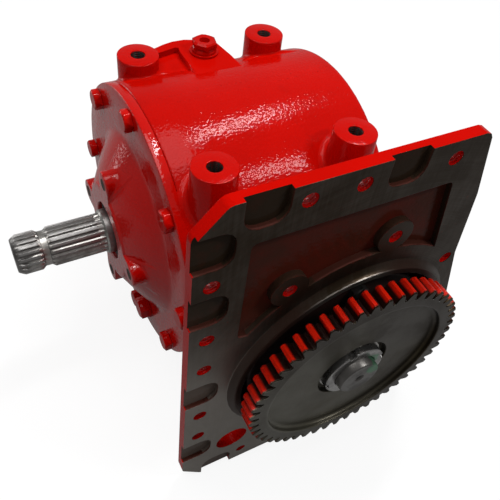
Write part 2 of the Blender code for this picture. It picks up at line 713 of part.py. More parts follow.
def make_plate_face(housing, root):
    """Cast pockets and recess in the plate's face, then its bolt holes."""
    above = PLATE_THICKNESS
    pockets = prisms("edge_pockets", plate_pockets(), -above, POCKET_DEPTH, root, facing_y)
    recess = prisms("face_recess", [recess_outline()], -above, RECESS_DEPTH, root, facing_y)
    pads = bars("recess_pads", PAD_BOLT_PLACES, PAD_RADIUS, -2 * above, RECESS_DEPTH + above, root,
                facing_y, COARSE)
    cut(recess, pads)
    holes = bars("plate_bolt_holes", PLATE_BOLT_PLACES + PAD_BOLT_PLACES, PLATE_BOLT_RADIUS, -above,
                 PLATE_THICKNESS + above, root, facing_y)
    port = bars("plate_port", [PORT_PLACE], PORT_RADIUS, -above, PLATE_THICKNESS + above, root,
                facing_y, COARSE)
    dowel = bars("dowel_hole", [DOWEL_PLACE], DOWEL_RADIUS, -above, PLATE_THICKNESS + above, root,
                 facing_y)
    cut(housing, pockets, recess, holes, port, dowel)


def make_drilled_holes(housing, root, input_axis, output_axis):
    """Tapped holes for the bosses, covers, breather and plugs."""
    tapped = M10_RADIUS + FIT_GAP
    boss_places = [(x, y) for x in BOSS_X for y in BOSS_Y]
    cut(housing,
        bars("boss_holes", boss_places, BOSS_HOLE_RADIUS, BOSS_TOP_Z - BOSS_HOLE_DEPTH,
             BOSS_TOP_Z + BOSS_HOLE_DEPTH, root, upright),
        bars("cover_tapped_holes", circle_places(COVER_BOLT_CIRCLE, COVER_BOLT_COUNT), tapped,
             DRUM_FACE_X - COVER_FLANGE, COVER_FACE_X + COVER_BOLT_LENGTH + tapped / 2, input_axis,
             along, COARSE // 2),
        bars("cap_tapped_holes", cap_bolt_places(), M8_RADIUS + FIT_GAP,
             DRUM_END_X - 0.010, DRUM_END_X + CAP_THICKNESS, input_axis, along, COARSE // 2),
        bars("carrier_tapped_holes", circle_places(CARRIER_BOLT_CIRCLE, CARRIER_BOLT_COUNT),
             M8_RADIUS + FIT_GAP, 0.0, PILOT_DEPTH + 0.014, output_axis, along, COARSE // 2),
        bars("vent_hole", [VENT_PLACE], VENT_NECK_RADIUS + FIT_GAP, DRUM_RADIUS * 0.5,
             VENT_PAD_TOP_Z + DRUM_WALL, root, upright),
        bars("plug_holes", [end_wall_place(DRAIN_PLACE), end_wall_place(LEVEL_PLACE)],
             PLUG_RADIUS + FIT_GAP, DRUM_END_X - 2 * DRUM_WALL, DRUM_END_X + DRUM_WALL, input_axis, along))


def end_wall_place(offsets):
    """A place on the end wall in the input axis frame, whose x is world -Z."""
    along_y, along_z = offsets
    return (-along_z, along_y)


def cap_bolt_places():
    """Bolt places on the rear cap."""
    return circle_places(CAP_BOLT_CIRCLE, CAP_BOLT_COUNT)


def make_input_cover(input_axis, material):
    """The domed cover with its quill, four tapped ears, bores and bolt holes."""
    cone_rise = COVER_FACE_X - QUILL_FACE_X - QUILL_CHAMFER * 2
    outside = [
        (0.0, COVER_BACK_X + COVER_PILOT), (DRUM_RIM_BORE - FIT_GAP, COVER_BACK_X + COVER_PILOT),
        (DRUM_RIM_BORE - FIT_GAP, COVER_BACK_X), (DRUM_RADIUS - QUILL_CHAMFER, COVER_BACK_X),
        (DRUM_RADIUS, COVER_BACK_X - QUILL_CHAMFER), (DRUM_RADIUS, COVER_FACE_X + QUILL_CHAMFER),
        (DRUM_RADIUS - QUILL_CHAMFER, COVER_FACE_X), (COVER_CONE_RADIUS + 0.003, COVER_FACE_X),
        (COVER_CONE_RADIUS, COVER_FACE_X - 0.001),
        (COVER_CONE_TOP_RADIUS, COVER_FACE_X - cone_rise), (QUILL_RADIUS, QUILL_FACE_X + QUILL_CHAMFER),
        (QUILL_RADIUS - QUILL_CHAMFER, QUILL_FACE_X), (0.0, QUILL_FACE_X)]
    cover = turned("input_cover", outside, input_axis, material, FINE)
    cover.rotation_euler.z = FACET_TURN

    for index in range(2):
        swing = Matrix.Rotation(math.pi / 2 * index, 2)
        half = arc((EAR_CIRCLE, 0.0), EAR_RADIUS, -90.0, 90.0, 8)
        outline = half + [(-u, -v) for u, v in half]
        outline = [tuple(swing @ Vector(point)) for point in outline]
        join(cover, prisms(f"quill_ears_{index}", [outline], QUILL_FACE_X, QUILL_FACE_X + EAR_DEPTH,
                           input_axis, along))

    boss = BEARING_RADIUS + 0.010
    back = COVER_BACK_X + COVER_PILOT
    hollow = [
        (DRUM_RIM_BORE - 0.009, back + 0.005), (DRUM_RIM_BORE - 0.009, COVER_FACE_X + 0.006),
        (COVER_CONE_RADIUS - 0.014, COVER_FACE_X - 0.0005), (boss + 0.004, COVER_FACE_X - 0.008),
        (boss, COVER_FACE_X - 0.006), (boss, back + 0.005)]
    bore = [
        (0.0, back + 0.005), (BEARING_BORE, back + 0.005),
        (BEARING_BORE, FRONT_BEARING_Z - SEAT_GAP), (SEAL_RADIUS + 0.006, FRONT_BEARING_Z - SEAT_GAP),
        (SEAL_RADIUS + 0.006, FRONT_BEARING_Z - 0.002), (SEAL_RADIUS + FIT_GAP, FRONT_BEARING_Z - 0.002),
        (SEAL_RADIUS + FIT_GAP, QUILL_FACE_X - 0.005), (0.0, QUILL_FACE_X - 0.005)]
    clearance = M10_RADIUS + 2 * FIT_GAP
    cut(cover,
        turned("cover_hollow", hollow, input_axis, steps=MEDIUM, closed=True),
        turned("cover_bore", bore, input_axis, steps=MEDIUM),
        bars("cover_bolt_holes", circle_places(COVER_BOLT_CIRCLE, COVER_BOLT_COUNT), clearance,
             COVER_FACE_X - 0.005, COVER_BACK_X + 0.005, input_axis, along, COARSE // 2),
        bars("ear_holes", circle_places(EAR_CIRCLE, 4), EAR_HOLE_RADIUS, QUILL_FACE_X - 0.005,
             QUILL_FACE_X + EAR_HOLE_DEPTH, input_axis, along, COARSE // 2),
        bars("cover_plug_hole", [cover_plug_place()], PLUG_RADIUS + FIT_GAP, COVER_FACE_X - 0.005,
             COVER_FACE_X + COVER_PLUG_LENGTH + FIT_GAP, input_axis, along, COARSE))
    return cover


def cover_plug_place():
    """Where the drain plug is screwed into the cover's flange, in the input axis frame."""
    return end_wall_place((COVER_PLUG_CIRCLE * math.cos(COVER_PLUG_TURN),
                           COVER_PLUG_CIRCLE * math.sin(COVER_PLUG_TURN)))


def spline_radii(count, tip, root):
    """Radius of each of the four points round one tooth and its gap, and their angles."""
    pitch = 2 * math.pi / count
    turns = (-0.20, 0.20, 0.34, 0.66)
    radii = (tip, tip, root, root)
    return [(radii[k], pitch * (i + turns[k])) for i in range(count) for k in range(4)]


def spline_ring(limit, z):
    """The splined stub's section at z, turned down to a limiting radius."""
    return [(min(radius, limit) * math.cos(angle), min(radius, limit) * math.sin(angle), z)
            for radius, angle in spline_radii(SPLINE_COUNT, STUB_RADIUS, STUB_ROOT_RADIUS)]


def spline_stub(input_axis):
    """The splined stub: chamfered end, locking groove and a run-out of the splines."""
    middle = STUB_END + LOCK_GROOVE_FROM_END
    half = math.sqrt(LOCK_GROOVE_ARC ** 2 - (LOCK_GROOVE_RADIUS + LOCK_GROOVE_ARC - STUB_RADIUS) ** 2)
    rings = [spline_ring(STUB_FACE_RADIUS, STUB_END), spline_ring(STUB_RADIUS, STUB_END + STUB_CHAMFER)]
    for share in (-1.0, -0.5, 0.5, 1.0):
        offset = share * half
        radius = LOCK_GROOVE_RADIUS + LOCK_GROOVE_ARC - math.sqrt(LOCK_GROOVE_ARC ** 2 - offset ** 2)
        rings.append(spline_ring(radius, middle + offset))
    rings.append(spline_ring(STUB_RADIUS, STUB_SHOULDER - SPLINE_RUNOUT))
    rings.append([(STUB_RADIUS * math.cos(angle), STUB_RADIUS * math.sin(angle), STUB_SHOULDER + 0.001)
                  for _, angle in spline_radii(SPLINE_COUNT, 1.0, 1.0)])
    bm = bmesh.new()
    add_loft(bm, rings)
    bmesh.ops.recalc_face_normals(bm, faces=bm.faces)
    stub = place("spline_stub_form", to_mesh("spline_stub_form", bm), input_axis)
    stub.rotation_euler.z = FACET_TURN
    return stub


def keyway(name, low, high, parent, gap=0.0):
    """The space of a key on the +X side of a shaft, grown by a gap on every side."""
    half = KEY_WIDTH / 2 + gap
    inner = JOURNAL_RADIUS - KEY_IN_SHAFT - gap
    outer = JOURNAL_RADIUS - KEY_IN_SHAFT + KEY_HEIGHT + gap
    outline = [(inner, -half), (outer, -half), (outer, half), (inner, half)]
    return prisms(name, [outline], low - gap, high + gap, parent, along)


def make_key(name, low, high, parent, material):
    """A parallel key."""
    half = KEY_WIDTH / 2
    inner = JOURNAL_RADIUS - KEY_IN_SHAFT
    outline = [(inner, -half), (inner + KEY_HEIGHT, -half), (inner + KEY_HEIGHT, half), (inner, half)]
    return prisms(name, [outline], low, high, parent, along, material)


def input_key_span():
    """Where the bevel gear's key lies on the input shaft."""
    back = input_gear_back()
    return (back + 0.006, back + 0.034)


def input_gear_back():
    """The back of the input gear's hub, against the front bearing's spacer."""
    return FRONT_BEARING_Z + BEARING_WIDTH + 0.0045


def make_input_shaft(input_axis, material):
    """The input shaft: splined stub, seal journal, gear seat and rear bearing seat."""
    neck = STUB_FACE_RADIUS * 0.9
    profile = [
        (0.0, INPUT_SHAFT_END), (THREAD_RADIUS - 0.001, INPUT_SHAFT_END),
        (THREAD_RADIUS, INPUT_SHAFT_END - 0.001), (THREAD_RADIUS, REAR_BEARING_Z + BEARING_WIDTH),
        (JOURNAL_RADIUS, REAR_BEARING_Z + BEARING_WIDTH), (JOURNAL_RADIUS, STUB_SHOULDER + 0.0014),
        (STUB_RADIUS + 0.0012, STUB_SHOULDER), (neck, STUB_SHOULDER), (neck, STUB_SHOULDER - 0.004),
        (0.0, STUB_SHOULDER - 0.004)]
    shaft = turned("input_shaft", profile, input_axis, material, MEDIUM)
    join(shaft, spline_stub(input_axis))
    cut(shaft, keyway("input_key_seat", *input_key_span(), input_axis, FIT_GAP))
    return shaft


def bevel_section(teeth, pitch_angle, distance, first):
    """A bevel gear's toothed outline in the plane at a distance from the apex."""
    tip = distance * math.tan(pitch_angle + math.atan(BEVEL_ADDENDUM / BEVEL_CONE))
    root = distance * math.tan(pitch_angle - math.atan(BEVEL_DEDENDUM / BEVEL_CONE))
    pitch_radius = BEVEL_CONE * math.sin(pitch_angle)
    half = math.pi * BEVEL_MODULE / 4 - MESH_BACKLASH / 2
    tip_half = (half - BEVEL_ADDENDUM * math.tan(PRESSURE_ANGLE)) / pitch_radius
    root_half = (half + BEVEL_DEDENDUM * math.tan(PRESSURE_ANGLE) * 0.8) / pitch_radius
    outline = []
    for i in range(teeth):
        middle = first + 2 * math.pi * i / teeth
        for radius, turn in ((root, -root_half), (tip, -tip_half), (tip, tip_half), (root, root_half)):
            outline.append((radius * math.cos(middle + turn), radius * math.sin(middle + turn)))
    return outline


def bevel_gear(name, teeth, pitch_angle, apex, first, hub_back, axis_frame, material):
    """A straight bevel gear on the low-z side of its apex, with its hub, bore and keyway."""
    heel = BEVEL_CONE * math.cos(pitch_angle)
    toe = (BEVEL_CONE - BEVEL_FACE) * math.cos(pitch_angle)
    rings = []
    for distance in (heel, toe):
        outline = bevel_section(teeth, pitch_angle, distance, first)
        rings.append([(u, v, apex - distance) for u, v in outline])
    bm = bmesh.new()
    add_loft(bm, rings)
    bmesh.ops.recalc_face_normals(bm, faces=bm.faces)
    gear = place(name, to_mesh(name, bm), axis_frame, material)
    join(gear, disc(f"{name}_hub", BEVEL_HUB_RADIUS, hub_back, apex - (heel + toe) / 2, axis_frame,
                    chamfer=0.0008))
    cut(gear, disc(f"{name}_bore", BORE_RADIUS, hub_back - 0.01, apex, axis_frame))
    return gear


def make_bevel_gears(input_axis, output_axis, material):
    """The bevel pair in mesh at rest: a tooth of one lies in a gap of the other."""
    input_gear = bevel_gear("input_bevel_gear", INPUT_TEETH, INPUT_PITCH_ANGLE, 0.0, -math.pi / 2,
                            input_gear_back(), input_axis, material)
    pinion = bevel_gear("output_bevel_pinion", OUTPUT_TEETH, OUTPUT_PITCH_ANGLE, DRUM_AXIS_Y,
                        math.pi + math.pi / OUTPUT_TEETH, pinion_back(), output_axis, material)
    low, high = input_key_span()
    cut(input_gear, keyway("input_gear_keyway", low - KEYWAY_RUN, high + 2 * KEYWAY_RUN, input_axis, FIT_GAP))
    low, high = pinion_key_span()
    cut(pinion, keyway("pinion_keyway", low - KEYWAY_RUN, high + KEYWAY_RUN, output_axis, FIT_GAP))


def pinion_back():
    """The back of the output pinion's hub, against the inner bearing."""
    return INNER_BEARING_Z + BEARING_WIDTH + SEAT_GAP


def pinion_toe():
    """The pinion's small end on the output shaft."""
    return DRUM_AXIS_Y - (BEVEL_CONE - BEVEL_FACE) * math.cos(OUTPUT_PITCH_ANGLE)


def pinion_key_span():
    """Where the pinion's key lies on the output shaft."""
    return (pinion_back() + 0.006, pinion_toe() - 0.006)


def gear_key_span():
    """Where the output gear's key lies."""
    return (GEAR_NUT_POCKET_FLOOR + 0.002, GEAR_HUB_BACK - 0.002)


def add_ring_loft(bm, rings):
    """Add a ring-shaped solid lofted through closed sections that come back to the first."""
    loops = [[bm.verts.new(point) for point in points] for points in rings]
    count = len(loops[0])
    for k, low in enumerate(loops):
        high = loops[(k + 1) % len(loops)]
        for i in range(count):
            n = (i + 1) % count
            bm.faces.new((low[i], low[n], high[n], high[i]))


def roller_outline(middle, radius, side, z):
    """One side of a roller set: three points on each roller and one on the cage between two."""
    points = []
    step = 2 * math.pi / ROLLER_COUNT
    turn = radius * 0.75 / middle
    for i in range(ROLLER_COUNT):
        for angle, out in ((-turn, 0.55), (0.0, 1.0), (turn, 0.55), (step / 2, 0.15)):
            reach = middle + side * radius * out
            points.append((reach * math.cos(i * step + angle), reach * math.sin(i * step + angle), z))
    return points


def make_bearing(prefix, low, axis_frame, races, rollers):
    """A roller bearing: two races, and between them the rollers in their cage."""
    high = low + BEARING_WIDTH
    bore = BORE_RADIUS
    room = BEARING_RADIUS - bore
    inner_track = bore + BEARING_INNER_SHARE * room
    outer_track = BEARING_RADIUS - BEARING_OUTER_SHARE * room
    lip = BEARING_LIP_SHARE * room
    inner = [(inner_track, high), (inner_track, low + 0.003), (inner_track + lip, low + 0.003),
             (inner_track + lip, low), (bore, low), (bore, high)]
    turned(f"{prefix}_inner_race", inner, axis_frame, races, COARSE, closed=True)
    ring(f"{prefix}_outer_race", outer_track, BEARING_RADIUS, low, high, axis_frame, races, COARSE)
    radius = (outer_track * math.cos(math.pi / COARSE) - inner_track) / 2 - FIT_GAP
    middle = (outer_track * math.cos(math.pi / COARSE) + inner_track) / 2
    ends = (low + 0.0035, high - 0.0015)
    bm = bmesh.new()
    add_ring_loft(bm, [roller_outline(middle, radius, 1, ends[0]), roller_outline(middle, radius, 1, ends[1]),
                       roller_outline(middle, radius, -1, ends[1]), roller_outline(middle, radius, -1, ends[0])])
    bmesh.ops.recalc_face_normals(bm, faces=bm.faces)
    place(f"{prefix}_rollers", to_mesh(f"{prefix}_rollers", bm), axis_frame, rollers)


def make_seal(name, shaft_radius, outer_radius, low, high, axis_frame, material):
    """A lipped shaft seal."""
    inner = shaft_radius + FIT_GAP
    profile = [(outer_radius, high), (outer_radius, low), (inner + 0.0018, low),
               (inner + 0.0018, low + (high - low) * 0.35), (inner, low + (high - low) * 0.5),
               (inner + 0.0012, high)]
    return turned(name, profile, axis_frame, material, MEDIUM, closed=True)


def involute_half_angles():
    """Radii up one flank of the output gear's tooth and the half angle at each."""
    pitch_radius = GEAR_MODULE * GEAR_TEETH / 2
    base = pitch_radius * math.cos(PRESSURE_ANGLE)
    root = pitch_radius - 1.25 * GEAR_MODULE
    tip = pitch_radius + GEAR_MODULE
    at_pitch = math.pi / (2 * GEAR_TEETH) + math.tan(PRESSURE_ANGLE) - PRESSURE_ANGLE
    flank = []
    for radius in (pitch_radius, tip):
        roll = math.acos(base / radius)
        flank.append((radius, at_pitch - (math.tan(roll) - roll)))
    return [(root, flank[0][1] * 1.45)] + flank


def gear_outline():
    """The output gear's toothed outline."""
    flank = involute_half_angles()
    outline = []
    for i in range(GEAR_TEETH):
        middle = GEAR_TURN + 2 * math.pi * i / GEAR_TEETH
        tooth = [(radius, -half) for radius, half in flank] + [(radius, half) for radius, half in flank[::-1]]
        outline += [(radius * math.cos(middle + turn), radius * math.sin(middle + turn))
                    for radius, turn in tooth]
    return outline


def make_output_gear(output_axis, material):
    """The spur gear: toothed rim, dished web, nut pocket, rear hub, bore and keyway."""
    gear = prisms("output_gear", [gear_outline()], GEAR_FRONT, GEAR_BACK, output_axis, along, material)
    floor = GEAR_FRONT + GEAR_DISH_DEPTH
    outside = GEAR_FRONT - GEAR_DISH_DEPTH
    front = [
        (0.0, GEAR_NUT_POCKET_FLOOR), (GEAR_NUT_POCKET, GEAR_NUT_POCKET_FLOOR), (GEAR_NUT_POCKET, floor),
        (GEAR_DISH_RADIUS - GEAR_DISH_FILLET, floor),
        (GEAR_DISH_RADIUS - GEAR_DISH_FILLET * 0.3, floor - GEAR_DISH_FILLET * 0.3),
        (GEAR_DISH_RADIUS, floor - GEAR_DISH_FILLET), (GEAR_DISH_RADIUS, outside), (0.0, outside)]
    rear = [(GEAR_DISH_RADIUS, GEAR_BACK + 0.01), (GEAR_DISH_RADIUS, GEAR_BACK - GEAR_REAR_DISH_DEPTH),
            (GEAR_HUB_RADIUS + 0.004, GEAR_BACK - GEAR_REAR_DISH_DEPTH), (GEAR_HUB_RADIUS + 0.004, GEAR_BACK + 0.01)]
    cut(gear,
        turned("gear_front_dish", front, output_axis, steps=FINE),
        turned("gear_rear_dish", rear, output_axis, steps=FINE, closed=True))
    hub_front = (floor + GEAR_BACK) / 2
    hub = ring("gear_hub_form", JOURNAL_RADIUS * 0.8, GEAR_HUB_RADIUS, GEAR_NUT_POCKET_FLOOR + 0.0005,
               GEAR_HUB_BACK, output_axis)
    join(gear, hub)
    cut(gear, disc("gear_bore", BORE_RADIUS, hub_front - 0.02, GEAR_HUB_BACK + 0.01, output_axis),
        keyway("gear_keyway", GEAR_FRONT, GEAR_HUB_BACK + 0.01, output_axis, FIT_GAP))
    return gear


def make_locknut(output_axis, material):
    """The slotted round nut and its tab washer."""
    bore = THREAD_RADIUS + FIT_GAP
    back = NUT_FRONT + NUT_WIDTH
    profile = [(NUT_RADIUS, back), (NUT_RADIUS, NUT_FRONT + 0.0008), (NUT_RADIUS - 0.0008, NUT_FRONT),
               (bore + 0.0008, NUT_FRONT), (bore, NUT_FRONT + 0.0008), (bore, back)]
    nut = turned("gear_locknut", profile, output_axis, material, MEDIUM, closed=True)
    wide, deep = NUT_SLOT
    slots = []
    for i in range(NUT_SLOT_COUNT):
        spin = Matrix.Rotation(NUT_TURN + 2 * math.pi * i / NUT_SLOT_COUNT, 2)
        corners = [(NUT_RADIUS - deep, -wide / 2), (NUT_RADIUS + deep, -wide / 2),
                   (NUT_RADIUS + deep, wide / 2), (NUT_RADIUS - deep, wide / 2)]
        slots.append([tuple(spin @ Vector(point)) for point in corners])
    cut(nut, prisms("nut_slots", slots, NUT_FRONT - deep, back + deep, output_axis, along))

    low = back + SEAT_GAP
    washer = ring("gear_lock_washer", bore, NUT_RADIUS + 0.0015, low, low + LOCK_WASHER, output_axis, material)
    spin = Matrix.Rotation(NUT_TURN, 2)
    reach = NUT_RADIUS - deep + FIT_GAP
    corners = [(reach, -wide / 3), (NUT_RADIUS + 0.0012, -wide / 3), (NUT_RADIUS + 0.0012, wide / 3),
               (reach, wide / 3)]
    tab = prisms("washer_tab_form", [[tuple(spin @ Vector(point)) for point in corners]],
                 back - NUT_WIDTH / 2, low + LOCK_WASHER / 2, output_axis, along)
    join(washer, tab)


def make_output_shaft(output_axis, material):
    """The output shaft with its threaded ends and key seats."""
    profile = [
        (0.0, OUTPUT_SHAFT_END), (THREAD_RADIUS - 0.001, OUTPUT_SHAFT_END),
        (THREAD_RADIUS, OUTPUT_SHAFT_END - 0.001), (THREAD_RADIUS, pinion_toe() - 0.0005),
        (JOURNAL_RADIUS, pinion_toe() - 0.0005), (JOURNAL_RADIUS, GEAR_NUT_POCKET_FLOOR + 0.0005),
        (THREAD_RADIUS, GEAR_NUT_POCKET_FLOOR + 0.0005), (THREAD_RADIUS, OUTPUT_SHAFT_FRONT + 0.001),
        (THREAD_RADIUS - 0.001, OUTPUT_SHAFT_FRONT), (CENTRE_HOLE_RADIUS, OUTPUT_SHAFT_FRONT),
        (0.0, OUTPUT_SHAFT_FRONT + CENTRE_HOLE_DEPTH)]
    shaft = turned("output_shaft", profile, output_axis, material, MEDIUM)
    cut(shaft, keyway("gear_key_seat", *gear_key_span(), output_axis, FIT_GAP),
        keyway("pinion_key_seat", *pinion_key_span(), output_axis, FIT_GAP))
    return shaft


def make_output_side(output_axis, steel, dark, rubber, bolts, cast):
    """What the output shaft carries, and the carrier that closes the neck."""
    sleeve_low = GEAR_HUB_BACK + SEAT_GAP
    sleeve_high = OUTER_BEARING_Z - SEAT_GAP
    sleeve_radius = BORE_RADIUS + SLEEVE_WALL
    ring("output_seal_sleeve", BORE_RADIUS, sleeve_radius, sleeve_low, sleeve_high, output_axis, steel)
    ring("output_bearing_spacer", BORE_RADIUS, BORE_RADIUS + SLEEVE_WALL, OUTER_BEARING_Z + BEARING_WIDTH
         + SEAT_GAP, INNER_BEARING_Z - SEAT_GAP, output_axis, steel)
    ring("pinion_locknut", THREAD_RADIUS + FIT_GAP, NUT_RADIUS, pinion_toe() + SEAT_GAP,
         pinion_toe() + INNER_NUT_WIDTH, output_axis, dark, COARSE)

    seal_radius = sleeve_radius + 0.0095
    carrier_front = PILOT_DEPTH - CARRIER_THICKNESS - SEAT_GAP
    carrier_back = PILOT_DEPTH - SEAT_GAP
    profile = [
        (BEARING_RADIUS, OUTER_BEARING_Z - SEAT_GAP), (BEARING_RADIUS, carrier_back),
        (CARRIER_RADIUS, carrier_back), (CARRIER_RADIUS, carrier_front + 0.001),
        (CARRIER_RADIUS - 0.001, carrier_front), (seal_radius + FIT_GAP, carrier_front),
        (seal_radius + FIT_GAP, carrier_front + OUTPUT_SEAL_WIDTH + 2 * SEAT_GAP),
        (sleeve_radius + 0.004, carrier_front + OUTPUT_SEAL_WIDTH + 2 * SEAT_GAP),
        (sleeve_radius + 0.004, OUTER_BEARING_Z - SEAT_GAP)]
    carrier = turned("output_seal_carrier", profile, output_axis, cast, MEDIUM, closed=True)
    places = circle_places(CARRIER_BOLT_CIRCLE, CARRIER_BOLT_COUNT)
    cut(carrier, bars("carrier_bolt_holes", places, M8_RADIUS + 2 * FIT_GAP, carrier_front - 0.01,
                      carrier_back + 0.01, output_axis, along, COARSE // 2))
    make_seal("output_seal", sleeve_radius, seal_radius, carrier_front + SEAT_GAP,
              carrier_front + SEAT_GAP + OUTPUT_SEAL_WIDTH, output_axis, rubber)
    make_bolts("seal_carrier_bolt", places, carrier_front - SEAT_GAP, -1, M8_BOLT, 0.018, output_axis,
               bolts)


def make_input_side(input_axis, steel, dark, rubber, bolts, cast, gasket):
    """What the input shaft carries, the gaskets, and the rear cap."""
    make_seal("input_seal", JOURNAL_RADIUS, SEAL_RADIUS, QUILL_FACE_X + SEAL_INSET,
              QUILL_FACE_X + SEAL_INSET + SEAL_WIDTH, input_axis, rubber)
    bearing_end = FRONT_BEARING_Z + BEARING_WIDTH
    ring("input_bearing_spacer", BORE_RADIUS, BORE_RADIUS + 0.006, bearing_end + SEAT_GAP,
         input_gear_back() - SEAT_GAP, input_axis, steel, COARSE)
    toe = (BEVEL_CONE - BEVEL_FACE) * math.cos(INPUT_PITCH_ANGLE)
    ring("input_spacer_tube", BORE_RADIUS, BORE_RADIUS + SLEEVE_WALL, -toe + SEAT_GAP,
         REAR_BEARING_Z - SEAT_GAP, input_axis, steel, COARSE)
    ring("input_shaft_locknut", THREAD_RADIUS + FIT_GAP, NUT_RADIUS, REAR_BEARING_Z + BEARING_WIDTH
         + SEAT_GAP, REAR_BEARING_Z + BEARING_WIDTH + INNER_NUT_WIDTH, input_axis, dark, COARSE)
    inner = DRUM_RIM_BORE + FIT_GAP
    gasket_low = COVER_BACK_X + SEAT_GAP
    seal_ring = ring("input_cover_gasket", inner, DRUM_RADIUS - 0.0005, gasket_low,
                     gasket_low + COVER_GASKET, input_axis, gasket, MEDIUM)
    places = circle_places(COVER_BOLT_CIRCLE, COVER_BOLT_COUNT)
    cut(seal_ring, bars("gasket_bolt_holes", places, M10_RADIUS + 2 * FIT_GAP, gasket_low - 0.01,
                        gasket_low + 0.01, input_axis, along, COARSE // 2))
    make_bolts("input_cover_bolt", places, COVER_FACE_X - SEAT_GAP, -1, M10_BOLT, COVER_BOLT_LENGTH,
               input_axis, bolts)
    make_rear_cap(input_axis, bolts, cast)


def make_rear_cap(input_axis, bolts, cast):
    """The cap over the inner bearing, with a shallow dome over the shaft's nut."""
    low = DRUM_END_X + SEAT_GAP
    high = low + CAP_THICKNESS
    pilot = BEARING_RADIUS
    outside = [(0.0, high + CAP_DOME), (pilot - 0.012, high + CAP_DOME), (pilot - 0.004, high + 0.001),
               (pilot - 0.003, high), (CAP_RADIUS - 0.001, high), (CAP_RADIUS, high - 0.001),
               (CAP_RADIUS, low), (pilot, low), (pilot, REAR_BEARING_Z + BEARING_WIDTH + SEAT_GAP),
               (pilot - 0.007, REAR_BEARING_Z + BEARING_WIDTH + SEAT_GAP), (pilot - 0.007, high - 0.001),
               (0.0, high - 0.001)]
    cap = turned("rear_cap", outside, input_axis, cast, MEDIUM)
    places = cap_bolt_places()
    cut(cap, bars("cap_bolt_holes", places, M8_RADIUS + 2 * FIT_GAP, low - 0.01, high + 0.01,
                  input_axis, along, COARSE // 2))
    make_bolts("rear_cap_bolt", places, high + SEAT_GAP, 1, M8_BOLT, 0.015, input_axis, bolts)


def make_plug(name, place_at, outward, seat, length, parent, material):
    """A plain hexagon plug with a collar under its head."""
    collar = PLUG_ACROSS_FLATS / 2 * 1.25
    rings = [round_ring(PLUG_RADIUS * 0.9, -length), round_ring(PLUG_RADIUS, -length + 0.001),
             round_ring(PLUG_RADIUS, 0.0), round_ring(collar, 0.0), round_ring(collar, PLUG_COLLAR),
             hexagon(PLUG_ACROSS_FLATS, PLUG_COLLAR), hexagon(PLUG_ACROSS_FLATS, PLUG_HEAD - 0.001),
             round_ring(PLUG_ACROSS_FLATS / 2 * 0.93, PLUG_HEAD)]
    bm = bmesh.new()
    turn = Matrix.Rotation(0.0 if outward > 0 else math.pi, 4, 'X')
    add_loft(bm, rings, Matrix.Translation((*place_at, seat)) @ turn)
    bmesh.ops.recalc_face_normals(bm, faces=bm.faces)
    return place(name, to_mesh(name, bm), parent, material)


def make_breather(root, material, washer_material):
    """The breather: threaded neck, collar and a hexagon crown with a sunk middle, on its washer."""
    washer_low = VENT_PAD_TOP_Z + SEAT_GAP
    washer_high = washer_low + BREATHER_WASHER
    washer = ring("breather_washer", VENT_NECK_RADIUS + FIT_GAP, BREATHER_WASHER_RADIUS, washer_low,
                  washer_high, root, washer_material, COARSE)
    washer.location = (*VENT_PLACE, 0.0)
    seat = washer_high + SEAT_GAP
    flats = BREATHER_ACROSS_FLATS
    rings = [round_ring(VENT_NECK_RADIUS * 0.9, -VENT_NECK_LENGTH),
             round_ring(VENT_NECK_RADIUS, -VENT_NECK_LENGTH + 0.001),
             round_ring(VENT_NECK_RADIUS, 0.0), round_ring(BREATHER_COLLAR_RADIUS, 0.0),
             round_ring(BREATHER_COLLAR_RADIUS, BREATHER_COLLAR), round_ring(BREATHER_WAIST_RADIUS, BREATHER_WAIST),
             hexagon(flats, BREATHER_HEXAGON_LOW, 0.3), hexagon(flats, BREATHER_HEXAGON_HIGH, 0.3),
             round_ring(flats / 2 * 0.9, BREATHER_HEIGHT), round_ring(BREATHER_SINK_RADIUS, BREATHER_HEIGHT - 0.0005),
             round_ring(BREATHER_SINK_RADIUS * 0.85, BREATHER_SINK_FLOOR)]
    bm = bmesh.new()
    add_loft(bm, rings, Matrix.Translation((*VENT_PLACE, seat)))
    bmesh.ops.recalc_face_normals(bm, faces=bm.faces)
    place("breather", to_mesh("breather", bm), root, material)


def make_plugs(input_axis, material):
    """The drain and level plugs on the drum's end wall, and the drain plug in the cover."""
    for name, offsets in (("drain_plug", DRAIN_PLACE), ("level_plug", LEVEL_PLACE)):
        make_plug(name, end_wall_place(offsets), 1, DRUM_END_X + SEAT_GAP, PLUG_LENGTH, input_axis, material)
    make_plug("cover_plug", cover_plug_place(), -1, COVER_FACE_X - SEAT_GAP, COVER_PLUG_LENGTH, input_axis,
              material)


